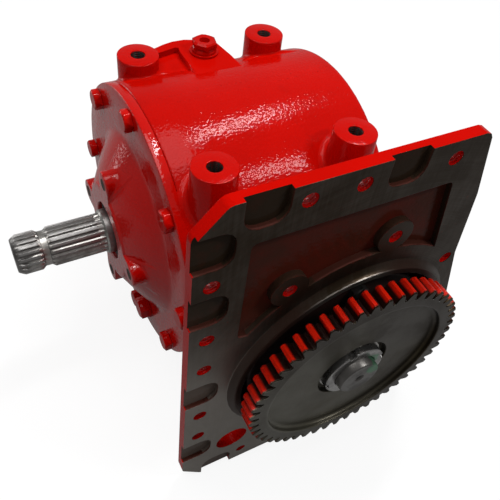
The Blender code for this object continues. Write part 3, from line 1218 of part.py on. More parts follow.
def build():
    """Make every piece in the gearbox's frame."""
    red = new_material("red_paint", (0.55, 0.012, 0.004), 0.28, 0.0)
    steel = new_material("bright_steel", (0.42, 0.42, 0.41), 0.30, 1.0)
    gear_steel = new_material("gear_steel", (0.22, 0.22, 0.20), 0.42, 1.0)
    dark = new_material("black_steel", (0.10, 0.10, 0.10), 0.45, 1.0)
    rubber = new_material("seal_rubber", (0.02, 0.02, 0.02), 0.70, 0.0)
    paper = new_material("gasket_paper", (0.10, 0.08, 0.06), 0.90, 0.0)

    root = new_empty("gearbox_frame", location=ORIGIN)
    input_axis = new_empty("input_axis", root, (0.0, DRUM_AXIS_Y, 0.0), (0.0, math.pi / 2, 0.0))
    output_axis = new_empty("output_axis", root, rotation=(-math.pi / 2, 0.0, 0.0))

    make_housing(root, input_axis, output_axis, red)
    make_input_cover(input_axis, red)
    make_input_shaft(input_axis, steel)
    make_input_side(input_axis, steel, dark, rubber, red, red, paper)
    make_bevel_gears(input_axis, output_axis, gear_steel)
    make_key("input_gear_key", *input_key_span(), input_axis, steel)
    make_bearing("input_front_bearing", FRONT_BEARING_Z, input_axis, steel, steel)
    make_bearing("input_rear_bearing", REAR_BEARING_Z, input_axis, steel, steel)

    make_output_shaft(output_axis, steel)
    make_output_gear(output_axis, gear_steel)
    make_locknut(output_axis, steel)
    make_key("output_gear_key", *gear_key_span(), output_axis, steel)
    make_key("pinion_key", *pinion_key_span(), output_axis, steel)
    make_output_side(output_axis, steel, dark, rubber, dark, red)
    make_bearing("output_outer_bearing", OUTER_BEARING_Z, output_axis, steel, steel)
    make_bearing("output_inner_bearing", INNER_BEARING_Z, output_axis, steel, steel)

    make_breather(root, red, steel)
    make_plugs(input_axis, red)


clear_scene()
parts = new_collection(PART_NAME)
tools = new_collection("cutters")
build()
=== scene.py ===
"""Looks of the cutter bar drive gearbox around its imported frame.

Sizes are metres in the drawing frame, whose origin is where the output shaft's axis meets the
machined face of the mounting plate: X along the input shaft, Y back from the plate, Z up.
"""
from __future__ import annotations

import json
import logging
import math
from dataclasses import dataclass
from enum import Enum
from typing import Any, Callable

import bmesh
import bpy
import numpy as np
from mathutils import Matrix, Vector

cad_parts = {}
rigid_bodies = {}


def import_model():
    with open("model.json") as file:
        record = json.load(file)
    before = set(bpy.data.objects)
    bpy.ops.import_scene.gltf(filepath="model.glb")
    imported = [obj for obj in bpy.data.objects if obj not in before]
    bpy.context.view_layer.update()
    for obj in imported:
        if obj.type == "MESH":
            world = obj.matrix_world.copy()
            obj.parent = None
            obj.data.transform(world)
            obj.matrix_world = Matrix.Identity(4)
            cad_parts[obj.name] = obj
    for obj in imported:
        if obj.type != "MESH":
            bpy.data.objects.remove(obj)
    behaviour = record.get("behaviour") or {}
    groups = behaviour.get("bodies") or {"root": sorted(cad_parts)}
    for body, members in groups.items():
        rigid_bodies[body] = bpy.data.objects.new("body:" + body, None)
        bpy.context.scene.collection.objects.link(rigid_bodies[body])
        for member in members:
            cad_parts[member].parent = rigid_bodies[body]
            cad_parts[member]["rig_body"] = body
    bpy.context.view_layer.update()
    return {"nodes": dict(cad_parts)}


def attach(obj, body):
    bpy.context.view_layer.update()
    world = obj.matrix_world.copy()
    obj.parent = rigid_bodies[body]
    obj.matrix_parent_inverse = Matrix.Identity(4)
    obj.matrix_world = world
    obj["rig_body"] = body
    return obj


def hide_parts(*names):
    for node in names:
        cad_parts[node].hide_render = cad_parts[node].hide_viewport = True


Array = np.ndarray
Piece = bpy.types.Object
Material = bpy.types.Material
Socket = bpy.types.NodeSocket
Place = tuple[float, float, float]
Colour = tuple[float, float, float, float]
LOG = logging.getLogger("gearbox")

ORIGIN = np.array((0.04775, -0.13920, 0.14100))
DRUM_AXIS_Y = 0.1864
DRUM_RADIUS = 0.12382
PACKED_DRUM = 0.12415
SKIN = 0.00006
SHARP = math.radians(38.0)
STUDS = ((0.0149, 0.1226), (-0.0622, 0.1030))
PORT = (-0.0860, -0.0926)
DOWEL = (-0.0740, -0.1250)


class Body(Enum):
    """The rigid bodies that a piece can ride on."""

    HOUSING = "housing"
    INPUT = "input_rotor"
    OUTPUT = "output_rotor"


class Slot(Enum):
    """The record's material slots that the pieces here take."""

    PAINT = "red_paint"
    BRIGHT = "bright_steel"
    GEAR = "gear_steel"


class Value:
    """A number socket of a node tree, with operators that add Math nodes."""

    def __init__(self, tree: "Tree", socket: Socket) -> None:
        """Wrap a socket.

        Args:
            tree: The tree that the socket is in.
            socket: The number socket.
        """
        self.tree = tree
        self.socket = socket

    def _math(self, operation: str, *others: Any, first: Any = None) -> "Value":
        """Add a Math node.

        Args:
            operation: The node's operation.
            others: What follows this value.
            first: What comes before this value, for reflected operators.

        Returns:
            The node's result.
        """
        values = ([] if first is None else [first]) + [self, *others]
        node = self.tree.node("ShaderNodeMath", {"operation": operation}, dict(enumerate(values)))
        return self.tree.value(node)

    def __add__(self, other: Any) -> "Value":
        """Sum."""
        return self._math("ADD", other)

    __radd__ = __add__

    def __sub__(self, other: Any) -> "Value":
        """Difference."""
        return self._math("SUBTRACT", other)

    def __rsub__(self, other: Any) -> "Value":
        """Difference from a number."""
        return self._math("SUBTRACT", first=other)

    def __mul__(self, other: Any) -> "Value":
        """Product."""
        return self._math("MULTIPLY", other)

    __rmul__ = __mul__

    def above(self, edge: float) -> "Value":
        """One where this value is over an edge, and else nought."""
        return self._math("GREATER_THAN", edge)

    def below(self, edge: float) -> "Value":
        """One where this value is under an edge, and else nought."""
        return self._math("LESS_THAN", edge)

    def most(self, other: Any) -> "Value":
        """The larger of two."""
        return self._math("MAXIMUM", other)

    def least(self, other: Any) -> "Value":
        """The smaller of two."""
        return self._math("MINIMUM", other)

    def size(self) -> "Value":
        """The value without its sign."""
        return self._math("ABSOLUTE")

    def root(self) -> "Value":
        """The square root."""
        return self._math("SQRT")

    def ramp(self, low: float, high: float) -> "Value":
        """A smooth step from nought at low to one at high.

        Args:
            low: Where the step starts.
            high: Where the step ends.

        Returns:
            The stepped value.
        """
        node = self.tree.node("ShaderNodeMapRange", {"interpolation_type": "SMOOTHSTEP"},
                              {"Value": self, "From Min": low, "From Max": high})
        return self.tree.value(node, "Result")


class Tree:
    """The node tree of a material or of the world."""

    def __init__(self, owner: Material | bpy.types.World) -> None:
        """Start with no nodes.

        Args:
            owner: What the tree belongs to.
        """
        owner.use_nodes = True
        self.tree = owner.node_tree
        self.tree.nodes.clear()

    def node(self, kind: str, settings: dict[str, Any], inputs: dict[Any, Any]) -> bpy.types.Node:
        """Add a node.

        Args:
            kind: The node's type.
            settings: Properties that are set first.
            inputs: Values or links of its sockets, by name or index.

        Returns:
            The node.
        """
        node = self.tree.nodes.new(kind)
        for key, value in settings.items():
            setattr(node, key, value)
        for key, value in inputs.items():
            socket = node.inputs[key]
            source = value.socket if isinstance(value, Value) else value
            if isinstance(source, Socket):
                self.tree.links.new(source, socket)
            else:
                socket.default_value = source
        return node

    def value(self, node: bpy.types.Node, output: Any = 0) -> Value:
        """One output of a node as a value."""
        return Value(self, node.outputs[output])

    def vector(self, x: Any, y: Any, z: Any) -> Socket:
        """A vector put together from three numbers."""
        return self.node("ShaderNodeCombineXYZ", {}, {0: x, 1: y, 2: z}).outputs[0]

    def mix(self, share: Any, low: Any, high: Any) -> Socket:
        """A colour between two.

        Args:
            share: How much of the second colour.
            low: The first colour.
            high: The second colour.

        Returns:
            The mixed colour.
        """
        node = self.node("ShaderNodeMix", {"data_type": "RGBA"}, {0: share, 6: low, 7: high})
        return node.outputs[2]


class Surface(Tree):
    """A material's tree, which reads places in the drawing frame."""

    def __init__(self, name: str) -> None:
        """Start an empty material.

        Args:
            name: The material's name.
        """
        self.material = bpy.data.materials.new(name)
        super().__init__(self.material)
        self.place = self.node("ShaderNodeTexCoord", {}, {}).outputs["Object"]
        split = self.node("ShaderNodeSeparateXYZ", {}, {0: self.place})
        self.x, self.y, self.z = (self.value(split, k) - float(ORIGIN[k]) for k in range(3))
        self.flat = self.node("ShaderNodeNewGeometry", {}, {}).outputs["True Normal"]

    def facing(self) -> tuple[Value, Value, Value]:
        """The flat face's normal as three values."""
        split = self.node("ShaderNodeSeparateXYZ", {}, {0: self.flat})
        return self.value(split, 0), self.value(split, 1), self.value(split, 2)

    def noise(self, scale: float, detail: float = 2.0, rough: float = 0.5, at: Socket | None = None) -> Value:
        """Cloudy noise from nought to one.

        Args:
            scale: Waves to the metre.
            detail: Number of finer layers.
            rough: Share of each finer layer.
            at: Where it is read, or the object's own coordinates.

        Returns:
            The noise.
        """
        node = self.node("ShaderNodeTexNoise", {"noise_dimensions": "3D"},
                         {"Vector": at or self.place, "Scale": scale, "Detail": detail, "Roughness": rough})
        return self.value(node, "Fac")

    def cells(self, scale: float) -> Value:
        """Distance to the nearest of scattered points, in cell widths."""
        node = self.node("ShaderNodeTexVoronoi", {}, {"Vector": self.place, "Scale": scale})
        return self.value(node, "Distance")

    def away(self, x: float, z: float) -> Value:
        """Distance from a line along Y through a place on the plate."""
        across, up = self.x - x, self.z - z
        return (across * across + up * up).root()

    def edges(self, radius: float) -> tuple[Socket, Value]:
        """Rounded edges.

        Args:
            radius: The rounding's radius.

        Returns:
            The rounded normal, and a value that rises from nought on flat faces to one on edges.
        """
        rounded = self.node("ShaderNodeBevel", {"samples": 6}, {"Radius": radius}).outputs[0]
        smooth = self.node("ShaderNodeNewGeometry", {}, {}).outputs["Normal"]
        dot = self.node("ShaderNodeVectorMath", {"operation": "DOT_PRODUCT"}, {0: rounded, 1: smooth})
        return rounded, (1.0 - self.value(dot, "Value")).ramp(0.02, 0.22)

    def bump(self, height: Value, depth: float, normal: Socket | None = None) -> Socket:
        """A bumped normal.

        Args:
            height: The bump's height from nought to one.
            depth: What a height of one is in metres.
            normal: The normal that the bump starts from.

        Returns:
            The bumped normal.
        """
        inputs = {"Strength": 1.0, "Distance": depth, "Height": height}
        if normal is not None:
            inputs["Normal"] = normal
        return self.node("ShaderNodeBump", {}, inputs).outputs[0]

    def finish(self, colour: Any, roughness: Any, metallic: Any, normal: Any,
               gloss: float = 0.5) -> Material:
        """End the tree with a Principled shader.

        Args:
            colour: Base colour.
            roughness: Roughness.
            metallic: Metallic share.
            normal: Normal.
            gloss: The specular level of what isn't metal.

        Returns:
            The material.
        """
        shader = self.node("ShaderNodeBsdfPrincipled", {}, {
            "Base Color": colour, "Roughness": roughness, "Metallic": metallic, "Normal": normal,
            "Specular IOR Level": gloss})
        self.node("ShaderNodeOutputMaterial", {}, {0: shader.outputs[0]})
        return self.material


def grey(level: float, warm: float = 0.0) -> Colour:
    """A grey, made warmer by a small share."""
    return (level * (1.0 + warm), level, level * (1.0 - warm), 1.0)


@dataclass(frozen=True)
class CastPaint:
    """Glossy paint over a sand casting."""

    bright: Colour = (0.53, 0.0026, 0.0006, 1.0)
    deep: Colour = (0.36, 0.0022, 0.0006, 1.0)
    brown: Colour = (0.085, 0.012, 0.008, 1.0)
    round_edge: float = 0.0012
    casting_depth: float = 0.00016
    peel_depth: float = 0.00025
    drop_depth: float = 0.00012
    gloss: float = 0.12

    def painted(self, tree: Surface) -> tuple[Any, Value]:
        """The paint's colour and roughness: clouds, runs down the sides and specks of dirt.

        Args:
            tree: The tree to fill.

        Returns:
            The colour and the roughness.
        """
        cloud = tree.noise(14.0, 3.0).ramp(0.35, 0.75)
        runs = tree.noise(60.0, 2.0, at=tree.vector(tree.x, tree.y, tree.z * 0.15)).ramp(0.55, 0.80)
        colour = tree.mix(cloud * 0.35 + runs * 0.20, self.bright, self.deep)
        dirt = tree.noise(230.0, 4.0, 0.65).ramp(0.66, 0.80) * tree.noise(9.0, 2.0).ramp(0.50, 0.7)
        colour = tree.mix(dirt * 0.45, colour, self.brown)
        roughness = 0.07 + 0.07 * tree.noise(40.0, 3.0) + dirt * 0.25
        return colour, roughness

    def relief(self, tree: Surface, normal: Any, share: Any = 1.0) -> Socket:
        """The casting's waves, the paint's orange peel, and dust and drops under it.

        Args:
            tree: The tree to fill.
            normal: The normal to start from.
            share: How much of the height is left where the casting was milled.

        Returns:
            The bumped normal.
        """
        waves = tree.bump(tree.noise(120.0, 2.0, 0.5) * share, self.casting_depth, normal)
        peel = tree.bump(tree.noise(450.0, 0.6, 0.5) * share, self.peel_depth, waves)
        drops = 1.0 - tree.cells(170.0).ramp(0.08, 0.26)
        return tree.bump(drops * tree.noise(22.0, 2.0).ramp(0.60, 0.68), self.drop_depth, peel)

    def material(self, name: str) -> Material:
        """Paint all over.

        Args:
            name: The material's name.

        Returns:
            The material.
        """
        tree = Surface(name)
        rounded, worn = tree.edges(self.round_edge)
        colour, roughness = self.painted(tree)
        chips = worn * tree.noise(240.0, 3.0).ramp(0.58, 0.68)
        colour = tree.mix(chips * 0.30, colour, self.brown)
        return tree.finish(colour, roughness, 0.0, self.relief(tree, rounded), self.gloss)


@dataclass(frozen=True)
class PlatePaint(CastPaint):
    """The housing's paint, with the plate's milled face and the pilot ring bare, and painted light and shade on
    the plate and ring.
    """

    face: Colour = (0.034, 0.023, 0.014, 1.0)
    # pale is the bare face's painted lit colour, mixed in as painted light towards the lower left.
    pale: Colour = (0.275, 0.250, 0.222, 1.0)
    # The pilot ring: ring is its painted lit colour at the painted glint, ring_painted_shade the painted shade
    # over the rest.
    ring: Colour = (0.30, 0.275, 0.245, 1.0)
    ring_painted_shade: Colour = (0.040, 0.020, 0.015, 1.0)
    floor: Colour = (0.105, 0.016, 0.009, 1.0)
    floor_dark: Colour = (0.037, 0.023, 0.014, 1.0)
    # floor_painted_lit is the floors' painted lit colour.
    floor_painted_lit: Colour = (0.180, 0.140, 0.118, 1.0)
    # inside is painted shade for the bore's inside behind the gear.
    inside: Colour = (0.032, 0.0085, 0.0065, 1.0)
    halo: Colour = (0.22, 0.016, 0.010, 1.0)
    # Recess walls: a darker colour, partly thin paint and partly painted shade, and a paler copy painted on
    # upward walls as painted light.
    wall: Colour = (0.070, 0.022, 0.015, 1.0)
    wall_painted_lit: Colour = (0.15, 0.050, 0.040, 1.0)
    round_edge: float = 0.0005
    casting_depth: float = 0.00012
    peel_depth: float = 0.00012
    drop_depth: float = 0.0
    gloss: float = 0.02
    # Where the painted glint on the pilot ring sits.
    painted_glint: tuple[float, float] = (-0.016, 0.0918)
    top_z: float = 0.1938
    low_z: float = -0.1355
    left_x: float = -0.1305
    right_x: float = 0.055
    corner_slope: float = 1.105
    corner_line: float = 0.3180
    port_radius: float = 0.0155
    dowel_radius: float = 0.0055
    face_edge: float = 0.0003
    floor_edge: float = 0.0075
    ring_radius: float = 0.0937
    fillet_radius: float = 0.0990
    bore_radius: float = 0.0891

    def outer(self, tree: Surface, normal: tuple[Value, Value, Value]) -> Value:
        """One on the plate's own outer edges and in the port and dowel hole, which are fully painted.

        Args:
            tree: The tree to fill.
            normal: The flat face's normal.

        Returns:
            The mask.
        """
        top = tree.z.above(self.top_z) * normal[2].above(0.5)
        chamfer = (tree.z - tree.x * self.corner_slope).above(self.corner_line)
        left = tree.x.below(self.left_x)
        right = normal[0].above(0.5) * tree.x.above(self.right_x)
        low = tree.z.below(self.low_z)
        holes = tree.away(*PORT).below(self.port_radius).most(tree.away(*DOWEL).below(self.dowel_radius))
        return top.most(chamfer).most(left).most(right).most(low).most(holes)

    def painted_light(self, tree: Surface) -> Value:
        """Painted light: rises from nought to one towards the plate's lower left, which is painted paler."""
        return (tree.z * -2.6 - tree.x * 1.6).ramp(-0.13, 0.25)

    def past_painted_glint(self, tree: Surface) -> Value:
        """Rises from nought at the pilot ring's painted glint to one away from it."""
        return tree.away(*self.painted_glint).ramp(0.012, 0.048)

    def studs(self, tree: Surface, inner: float, outer: float) -> Value:
        """One round the two raised holes in the recess."""
        return (2.0 - tree.away(*STUDS[0]).ramp(inner, outer)
                - tree.away(*STUDS[1]).ramp(inner, outer)).least(1.0)

    def floors(self, tree: Surface, colour: Any, radius: Value, normal: tuple[Value, Value, Value]) -> Any:
        """Thin brownish paint in the recess and pockets, painted paler towards the lower left and on walls that
        look upwards as painted light, and painted shade inside the bore.

        Args:
            tree: The tree to fill.
            colour: The colour so far.
            radius: Distance from the output axis.
            normal: The flat face's normal.

        Returns:
            The colour.
        """
        front = (0.0 - normal[1]).above(0.7)
        depth = tree.y.above(self.face_edge) * tree.y.below(self.floor_edge)
        smear = tree.noise(42.0, 4.0, 0.62).ramp(0.30, 0.72)
        pocket = tree.y.below(0.0046)
        brown = tree.mix((smear * 0.50 + pocket * 0.8).least(1.0), self.floor, self.floor_dark)
        brown = tree.mix(self.studs(tree, 0.014, 0.021) * 0.18, brown, self.halo)
        # Painted light: the floors are painted paler towards the lower left.
        brown = tree.mix(self.painted_light(tree) * 0.85, brown, self.floor_painted_lit)
        thin = 1.0 - tree.y.ramp(0.0006, 0.0020)
        # Painted light: walls near the face that look upwards are painted paler; the other walls keep the
        # darker wall colour as painted shade.
        rise = thin * normal[2].ramp(0.2, 0.8) * (0.45 + 0.55 * tree.noise(70.0, 3.0).ramp(0.35, 0.65))
        side = tree.mix(rise, self.wall, self.wall_painted_lit)
        side = tree.mix(normal[0].below(-0.5) * (1.0 - thin * 0.8), side, brown)
        side = tree.mix(self.studs(tree, 0.0185, 0.0195) * 0.75, side, self.floor_dark)
        colour = tree.mix(depth * front, colour, brown)
        walls = depth * normal[1].size().below(0.5) * (1.0 - self.outer(tree, normal))
        colour = tree.mix(walls, colour, side)
        # Painted shade: the bore's inside, behind the gear, is painted nearly black.
        inside = radius.below(self.bore_radius) * tree.y.below(0.014)
        return tree.mix(inside * 0.95, colour, self.inside)

    def machined(self, tree: Surface, radius: Value, worn: Value) -> tuple[Any, Value]:
        """The bare face: milling marks, stains, red mist, the turned pilot ring, and painted light: paler
        towards the lower left, with a painted glint on the ring.

        Args:
            tree: The tree to fill.
            radius: Distance from the output axis.
            worn: The mask of edges.

        Returns:
            The colour and the mask of the ring's end face.
        """
        arcs = tree.noise(1.0, 3.0, 0.6, at=tree.vector(radius * 1500.0, tree.x * 9.0, tree.z * 9.0))
        stroke = tree.noise(1.0, 3.0, 0.6, at=tree.vector(tree.x * 420.0, 0.0, tree.z * 16.0))
        patches = tree.noise(24.0, 4.0, 0.6).ramp(0.35, 0.75)
        # Mostly painted light: the face turns pale towards the lower left; the patches and milling marks are
        # real.
        share = self.painted_light(tree) * 0.86 + patches * 0.14 + (arcs - 0.5) * 0.18 + (stroke - 0.5) * 0.18
        metal = tree.mix(share.most(0.0).least(1.0), self.face, self.pale)
        on_ring = radius.below(self.ring_radius) * tree.y.below(-0.0042)
        # Painted highlight: a glint on the pilot ring; the rest of the ring is painted dark as painted shade.
        painted_glint = (1.0 - self.past_painted_glint(tree)).most(self.painted_light(tree) * 0.14)
        metal = tree.mix(on_ring, metal, tree.mix(painted_glint * (0.55 + 0.45 * arcs), self.ring_painted_shade, self.ring))
        metal = tree.mix(self.studs(tree, 0.015, 0.017) * 0.70, metal, self.floor_dark)
        mist = tree.noise(150.0, 3.0, 0.7).ramp(0.62, 0.74) * tree.noise(16.0).ramp(0.50, 0.62)
        rim = worn * tree.noise(90.0, 3.0).ramp(0.38, 0.60)
        return tree.mix((mist * 0.5).most(rim * 0.7) * (1.0 - on_ring), metal, self.halo), on_ring

    def material(self, name: str) -> Material:
        """Paint with a bare machined face, and painted shade over the pilot ring's fillet at its upper left.

        Args:
            name: The material's name.

        Returns:
            The material.
        """
        tree = Surface(name)
        rounded, worn = tree.edges(self.round_edge)
        colour, roughness = self.painted(tree)
        radius = tree.away(0.0, 0.0)
        normal = tree.facing()
        front = (0.0 - normal[1]).above(0.7)
        colour = self.floors(tree, colour, radius, normal)
        bare = (tree.y + (tree.noise(900.0) - 0.5) * 0.0002).below(self.face_edge)
        metal, on_ring = self.machined(tree, radius, worn)
        colour = tree.mix(bare, colour, metal)
        # Pale front edges of the recess and pockets: partly worn paint, partly a painted highlight.
        lip_wear_and_highlight = worn * front * tree.y.above(self.face_edge) * tree.y.below(self.floor_edge)
        colour = tree.mix(lip_wear_and_highlight * 0.25 * tree.noise(120.0, 2.0).ramp(0.40, 0.62), colour, self.wall_painted_lit)
        fillet = radius.below(self.fillet_radius) * tree.y.below(-0.0002)
        # Painted shade: the fillet's upper left, away from the glint, is painted dark and made less metallic.
        fillet_painted_shade = fillet * (tree.z - tree.x).ramp(-0.04, 0.05) * self.past_painted_glint(tree)
        colour = tree.mix(fillet_painted_shade * 0.80, colour, self.ring_painted_shade)
        steel = 0.38 + 0.16 * tree.noise(70.0, 3.0) - fillet * 0.13
        rough = bare * steel + (1.0 - bare) * roughness
        relief = self.relief(tree, rounded, 1.0 - bare * 0.80)
        return tree.finish(colour, rough, bare * (0.85 - fillet_painted_shade * 0.65), relief, self.gloss)


@dataclass(frozen=True)
class TurnedSteel:
    """Steel that was turned on a lathe: fine marks round an axis, brown stains, and, with a root radius,
    painted shade in spline roots.
    """

    colour: Colour = (0.42, 0.405, 0.38, 1.0)
    stain: Colour = (0.13, 0.115, 0.098, 1.0)
    roughness: float = 0.27
    stained: float = 0.6
    along_x: bool = True
    root_radius: float = 0.0
    drawn: bool = False

    def tint(self, tree: Surface, colour: Any) -> Any:
        """Marks that a kind of steel adds to its colour: none here."""
        return colour

    def material(self, name: str) -> Material:
        """Turned steel.

        Args:
            name: The material's name.

        Returns:
            The material.
        """
        tree = Surface(name)
        rounded, worn = tree.edges(0.0004)
        across = tree.y - DRUM_AXIS_Y if self.along_x else tree.x
        radius = (across * across + tree.z * tree.z).root()
        axial = tree.x if self.along_x else tree.y
        if self.drawn:
            marks = tree.noise(1.0, 2.0, 0.6, at=tree.vector(axial * 60.0, across * 900.0, tree.z * 900.0))
        else:
            marks = tree.noise(1.0, 2.0, 0.7, at=tree.vector(axial * 3800.0, radius * 3800.0, 0.0))
        blotch = tree.noise(75.0, 4.0, 0.62).ramp(0.42, 0.72)
        shade = blotch * self.stained + (marks - 0.5) * 0.35
        # Painted shade: the splines' roots are darkened.
        if self.root_radius > 0.0:
            shade = shade + (1.0 - radius.ramp(self.root_radius, self.root_radius + 0.0012)) * 0.55
        colour = tree.mix(shade.most(0.0).least(1.0), self.colour, self.stain)
        colour = self.tint(tree, tree.mix(worn * 0.5, colour, grey(0.62)))
        rough = self.roughness + 0.18 * blotch + 0.08 * (marks - 0.5)
        return tree.finish(colour, rough, 0.92, tree.bump(marks, 0.000008, rounded))


@dataclass(frozen=True)
class MarkedSteel(TurnedSteel):
    """The nut and the shaft's end: turned steel with a dab of green marking paint."""

    mark: Colour = (0.050, 0.20, 0.095, 1.0)
    mark_at: tuple[float, float] = (0.0125, 0.0085)
    mark_size: float = 0.0085
    centre_hole: float = 0.0024

    def tint(self, tree: Surface, colour: Any) -> Any:
        """A ragged green dab, and painted shade in the shaft's centre hole.

        Args:
            tree: The tree to fill.
            colour: The steel's colour.

        Returns:
            The colour with both.
        """
        near = tree.away(*self.mark_at) + (tree.noise(260.0, 3.0) - 0.5) * 0.007
        dab = 1.0 - near.ramp(self.mark_size * 0.7, self.mark_size)
        colour = tree.mix(dab * 0.80, colour, self.mark)
        # Painted shade: the centre hole is painted nearly black.
        hole = 1.0 - tree.away(0.0, 0.0).ramp(self.centre_hole, self.centre_hole + 0.0016)
        return tree.mix(hole * 0.92, colour, grey(0.012))


@dataclass(frozen=True)
class GearFinish:
    """The output gear: turned faces, hobbed flanks, paint that caught the tooth tips, and painted shade."""

    metal: Colour = (0.160, 0.152, 0.120, 1.0)
    # dark is the metal's dark grain tone and also its painted shade.
    dark: Colour = (0.024, 0.016, 0.008, 1.0)
    paint: Colour = (0.78, 0.014, 0.002, 1.0)
    # gap is painted shade for the tooth gaps.
    gap: Colour = (0.022, 0.0045, 0.003, 1.0)
    oil: Colour = (0.090, 0.078, 0.045, 1.0)
    gloss: float = 0.12
    tip: float = 0.0922
    root: float = 0.0848
    front: float = -0.0272

    def material(self, name: str) -> Material:
        """Gear steel with overspray, and painted shade on one side, on the rim face and in the tooth gaps.

        Args:
            name: The material's name.

        Returns:
            The material.
        """
        tree = Surface(name)
        rounded, worn = tree.edges(0.0004)
        radius = tree.away(0.0, 0.0)
        rings = tree.noise(1.0, 3.0, 0.65, at=tree.vector(radius * 1500.0, 0.0, 0.0))
        fine = tree.noise(1.0, 2.0, 0.6, at=tree.vector(radius * 7000.0, tree.x * 30.0, tree.z * 30.0))
        patch = tree.noise(30.0, 4.0, 0.6).ramp(0.35, 0.75)
        # Painted shade: the gear's face darkens towards one side.
        painted_shade_side = (tree.x * 6.0 + tree.z * 4.0).ramp(-0.60, 0.50) * 0.72
        # Painted shade: the flat rim face round the dish is darkened.
        rim = radius.ramp(0.0775, 0.0800) * (1.0 - tree.y.above(self.front + 0.0008)) * 0.34
        grain = rings * 0.26 + fine * 0.16 + patch * 0.16
        colour = tree.mix((painted_shade_side + rim + grain).least(1.0), self.metal, self.dark)
        film = tree.noise(19.0, 3.0).ramp(0.50, 0.70)
        colour = tree.mix(film * 0.25, colour, self.oil)

        toothed = radius.above(self.root)
        behind = tree.y.ramp(self.front + 0.0006, self.front + 0.0020)
        land = radius.ramp(self.tip - 0.0030, self.tip - 0.0008)
        upper = (tree.z * 5.0 - tree.x * 3.0).ramp(-0.08, 0.24)
        sprayed = tree.noise(260.0, 3.0, 0.65).ramp(0.30, 0.55)
        # Painted shade in the tooth gaps: the flanks are painted near black, with some overspray.
        flank = toothed * behind * (0.78 + 0.20 * sprayed) * (0.55 + 0.45 * upper)
        colour = tree.mix(flank, colour, self.gap)
        painted = land * behind * (0.06 + 0.94 * upper) * (0.85 + 0.15 * sprayed)
        colour = tree.mix(painted, colour, self.paint)
        covered = flank.most(painted)
        colour = tree.mix(worn * 0.45 * (1.0 - covered), colour, grey(0.45))
        rough = 0.34 + 0.12 * patch - 0.06 * painted
        normal = tree.bump(rings * 0.75 + fine * 0.25, 0.00011, rounded)
        return tree.finish(colour, rough, 0.9 - 0.88 * covered, normal, self.gloss)


@dataclass(frozen=True)
class PlainFinish:
    """A simple stock finish with grain: rubber, fibre sheet or blackened steel."""

    colour: Colour
    other: Colour
    roughness: float
    metallic: float
    grain: float = 700.0
    depth: float = 0.00005

    def material(self, name: str) -> Material:
        """The finish as a material.

        Args:
            name: The material's name.

        Returns:
            The material.
        """
        tree = Surface(name)
        rounded, worn = tree.edges(0.0004)
        grain = tree.noise(self.grain, 3.0, 0.6)
        cloud = tree.noise(45.0, 3.0)
        colour = tree.mix(cloud * 0.6 + grain * 0.4, self.colour, self.other)
        colour = tree.mix(worn * 0.25, colour, grey(0.35))
        rough = self.roughness + 0.15 * (grain - 0.5)
        return tree.finish(colour, rough, self.metallic, tree.bump(grain, self.depth, rounded))


def round_polyline(points: Array, radii: tuple[float, ...], steps: int) -> Array:
    """Round a polyline's inner corners.

    Each corner is replaced by a quadratic curve between the two points at its radius from the
    corner: p = (1-t)^2 a + 2 t (1-t) corner + t^2 b.

    Args:
        points: The (n, 2) corners.
        radii: How far from each corner its curve starts; nought keeps it sharp.
        steps: Number of pieces in a curve.

    Returns:
        The (m, 2) rounded line.
    """
    line = [points[:1]]
    share = np.linspace(0.0, 1.0, steps + 1)[:, None]
    for before, corner, after, radius in zip(points[:-2], points[1:-1], points[2:], radii[1:-1]):
        if radius <= 0.0:
            line.append(corner[None])
            continue
        a = corner + (before - corner) * min(radius / np.linalg.norm(before - corner), 0.49)
        b = corner + (after - corner) * min(radius / np.linalg.norm(after - corner), 0.49)
        line.append((1 - share) ** 2 * a + 2 * share * (1 - share) * corner + share ** 2 * b)
    line.append(points[-1:])
    return np.concatenate(line)


def add_object(name: str, data: Any) -> Piece:
    """Put an object with its data in the scene.

    Args:
        name: The object's name.
        data: Its mesh, camera or light.

    Returns:
        The object.
    """
    piece = bpy.data.objects.new(name, data)
    bpy.context.scene.collection.objects.link(piece)
    return piece


def about_input(axial: Array, radius: Array, angle: Array) -> Array:
    """Points about the input axis: x = axial, y = axis + r cos a, z = r sin a."""
    axial, radius, angle = np.broadcast_arrays(axial, radius, angle)
    return np.stack((axial, DRUM_AXIS_Y + radius * np.cos(angle), radius * np.sin(angle)), axis=-1)


def about_output(axial: Array, radius: Array, angle: Array) -> Array:
    """Points about the output axis: y = axial, x = r cos a, z = r sin a."""
    axial, radius, angle = np.broadcast_arrays(axial, radius, angle)
    return np.stack((radius * np.cos(angle), axial, radius * np.sin(angle)), axis=-1)


def stack_rows(rows: list[tuple[Any, Any]], angle: Array) -> tuple[Array, Array]:
    """Put a profile's rows together.

    Args:
        rows: (radius, place along the axis), each one number or one for every angle.
        angle: The angles round the axis.

    Returns:
        The (rows, angles) radii and places along the axis.
    """
    radii, axial = (np.stack([np.broadcast_to(row[k], angle.shape) for row in rows]) for k in range(2))
    return radii, axial


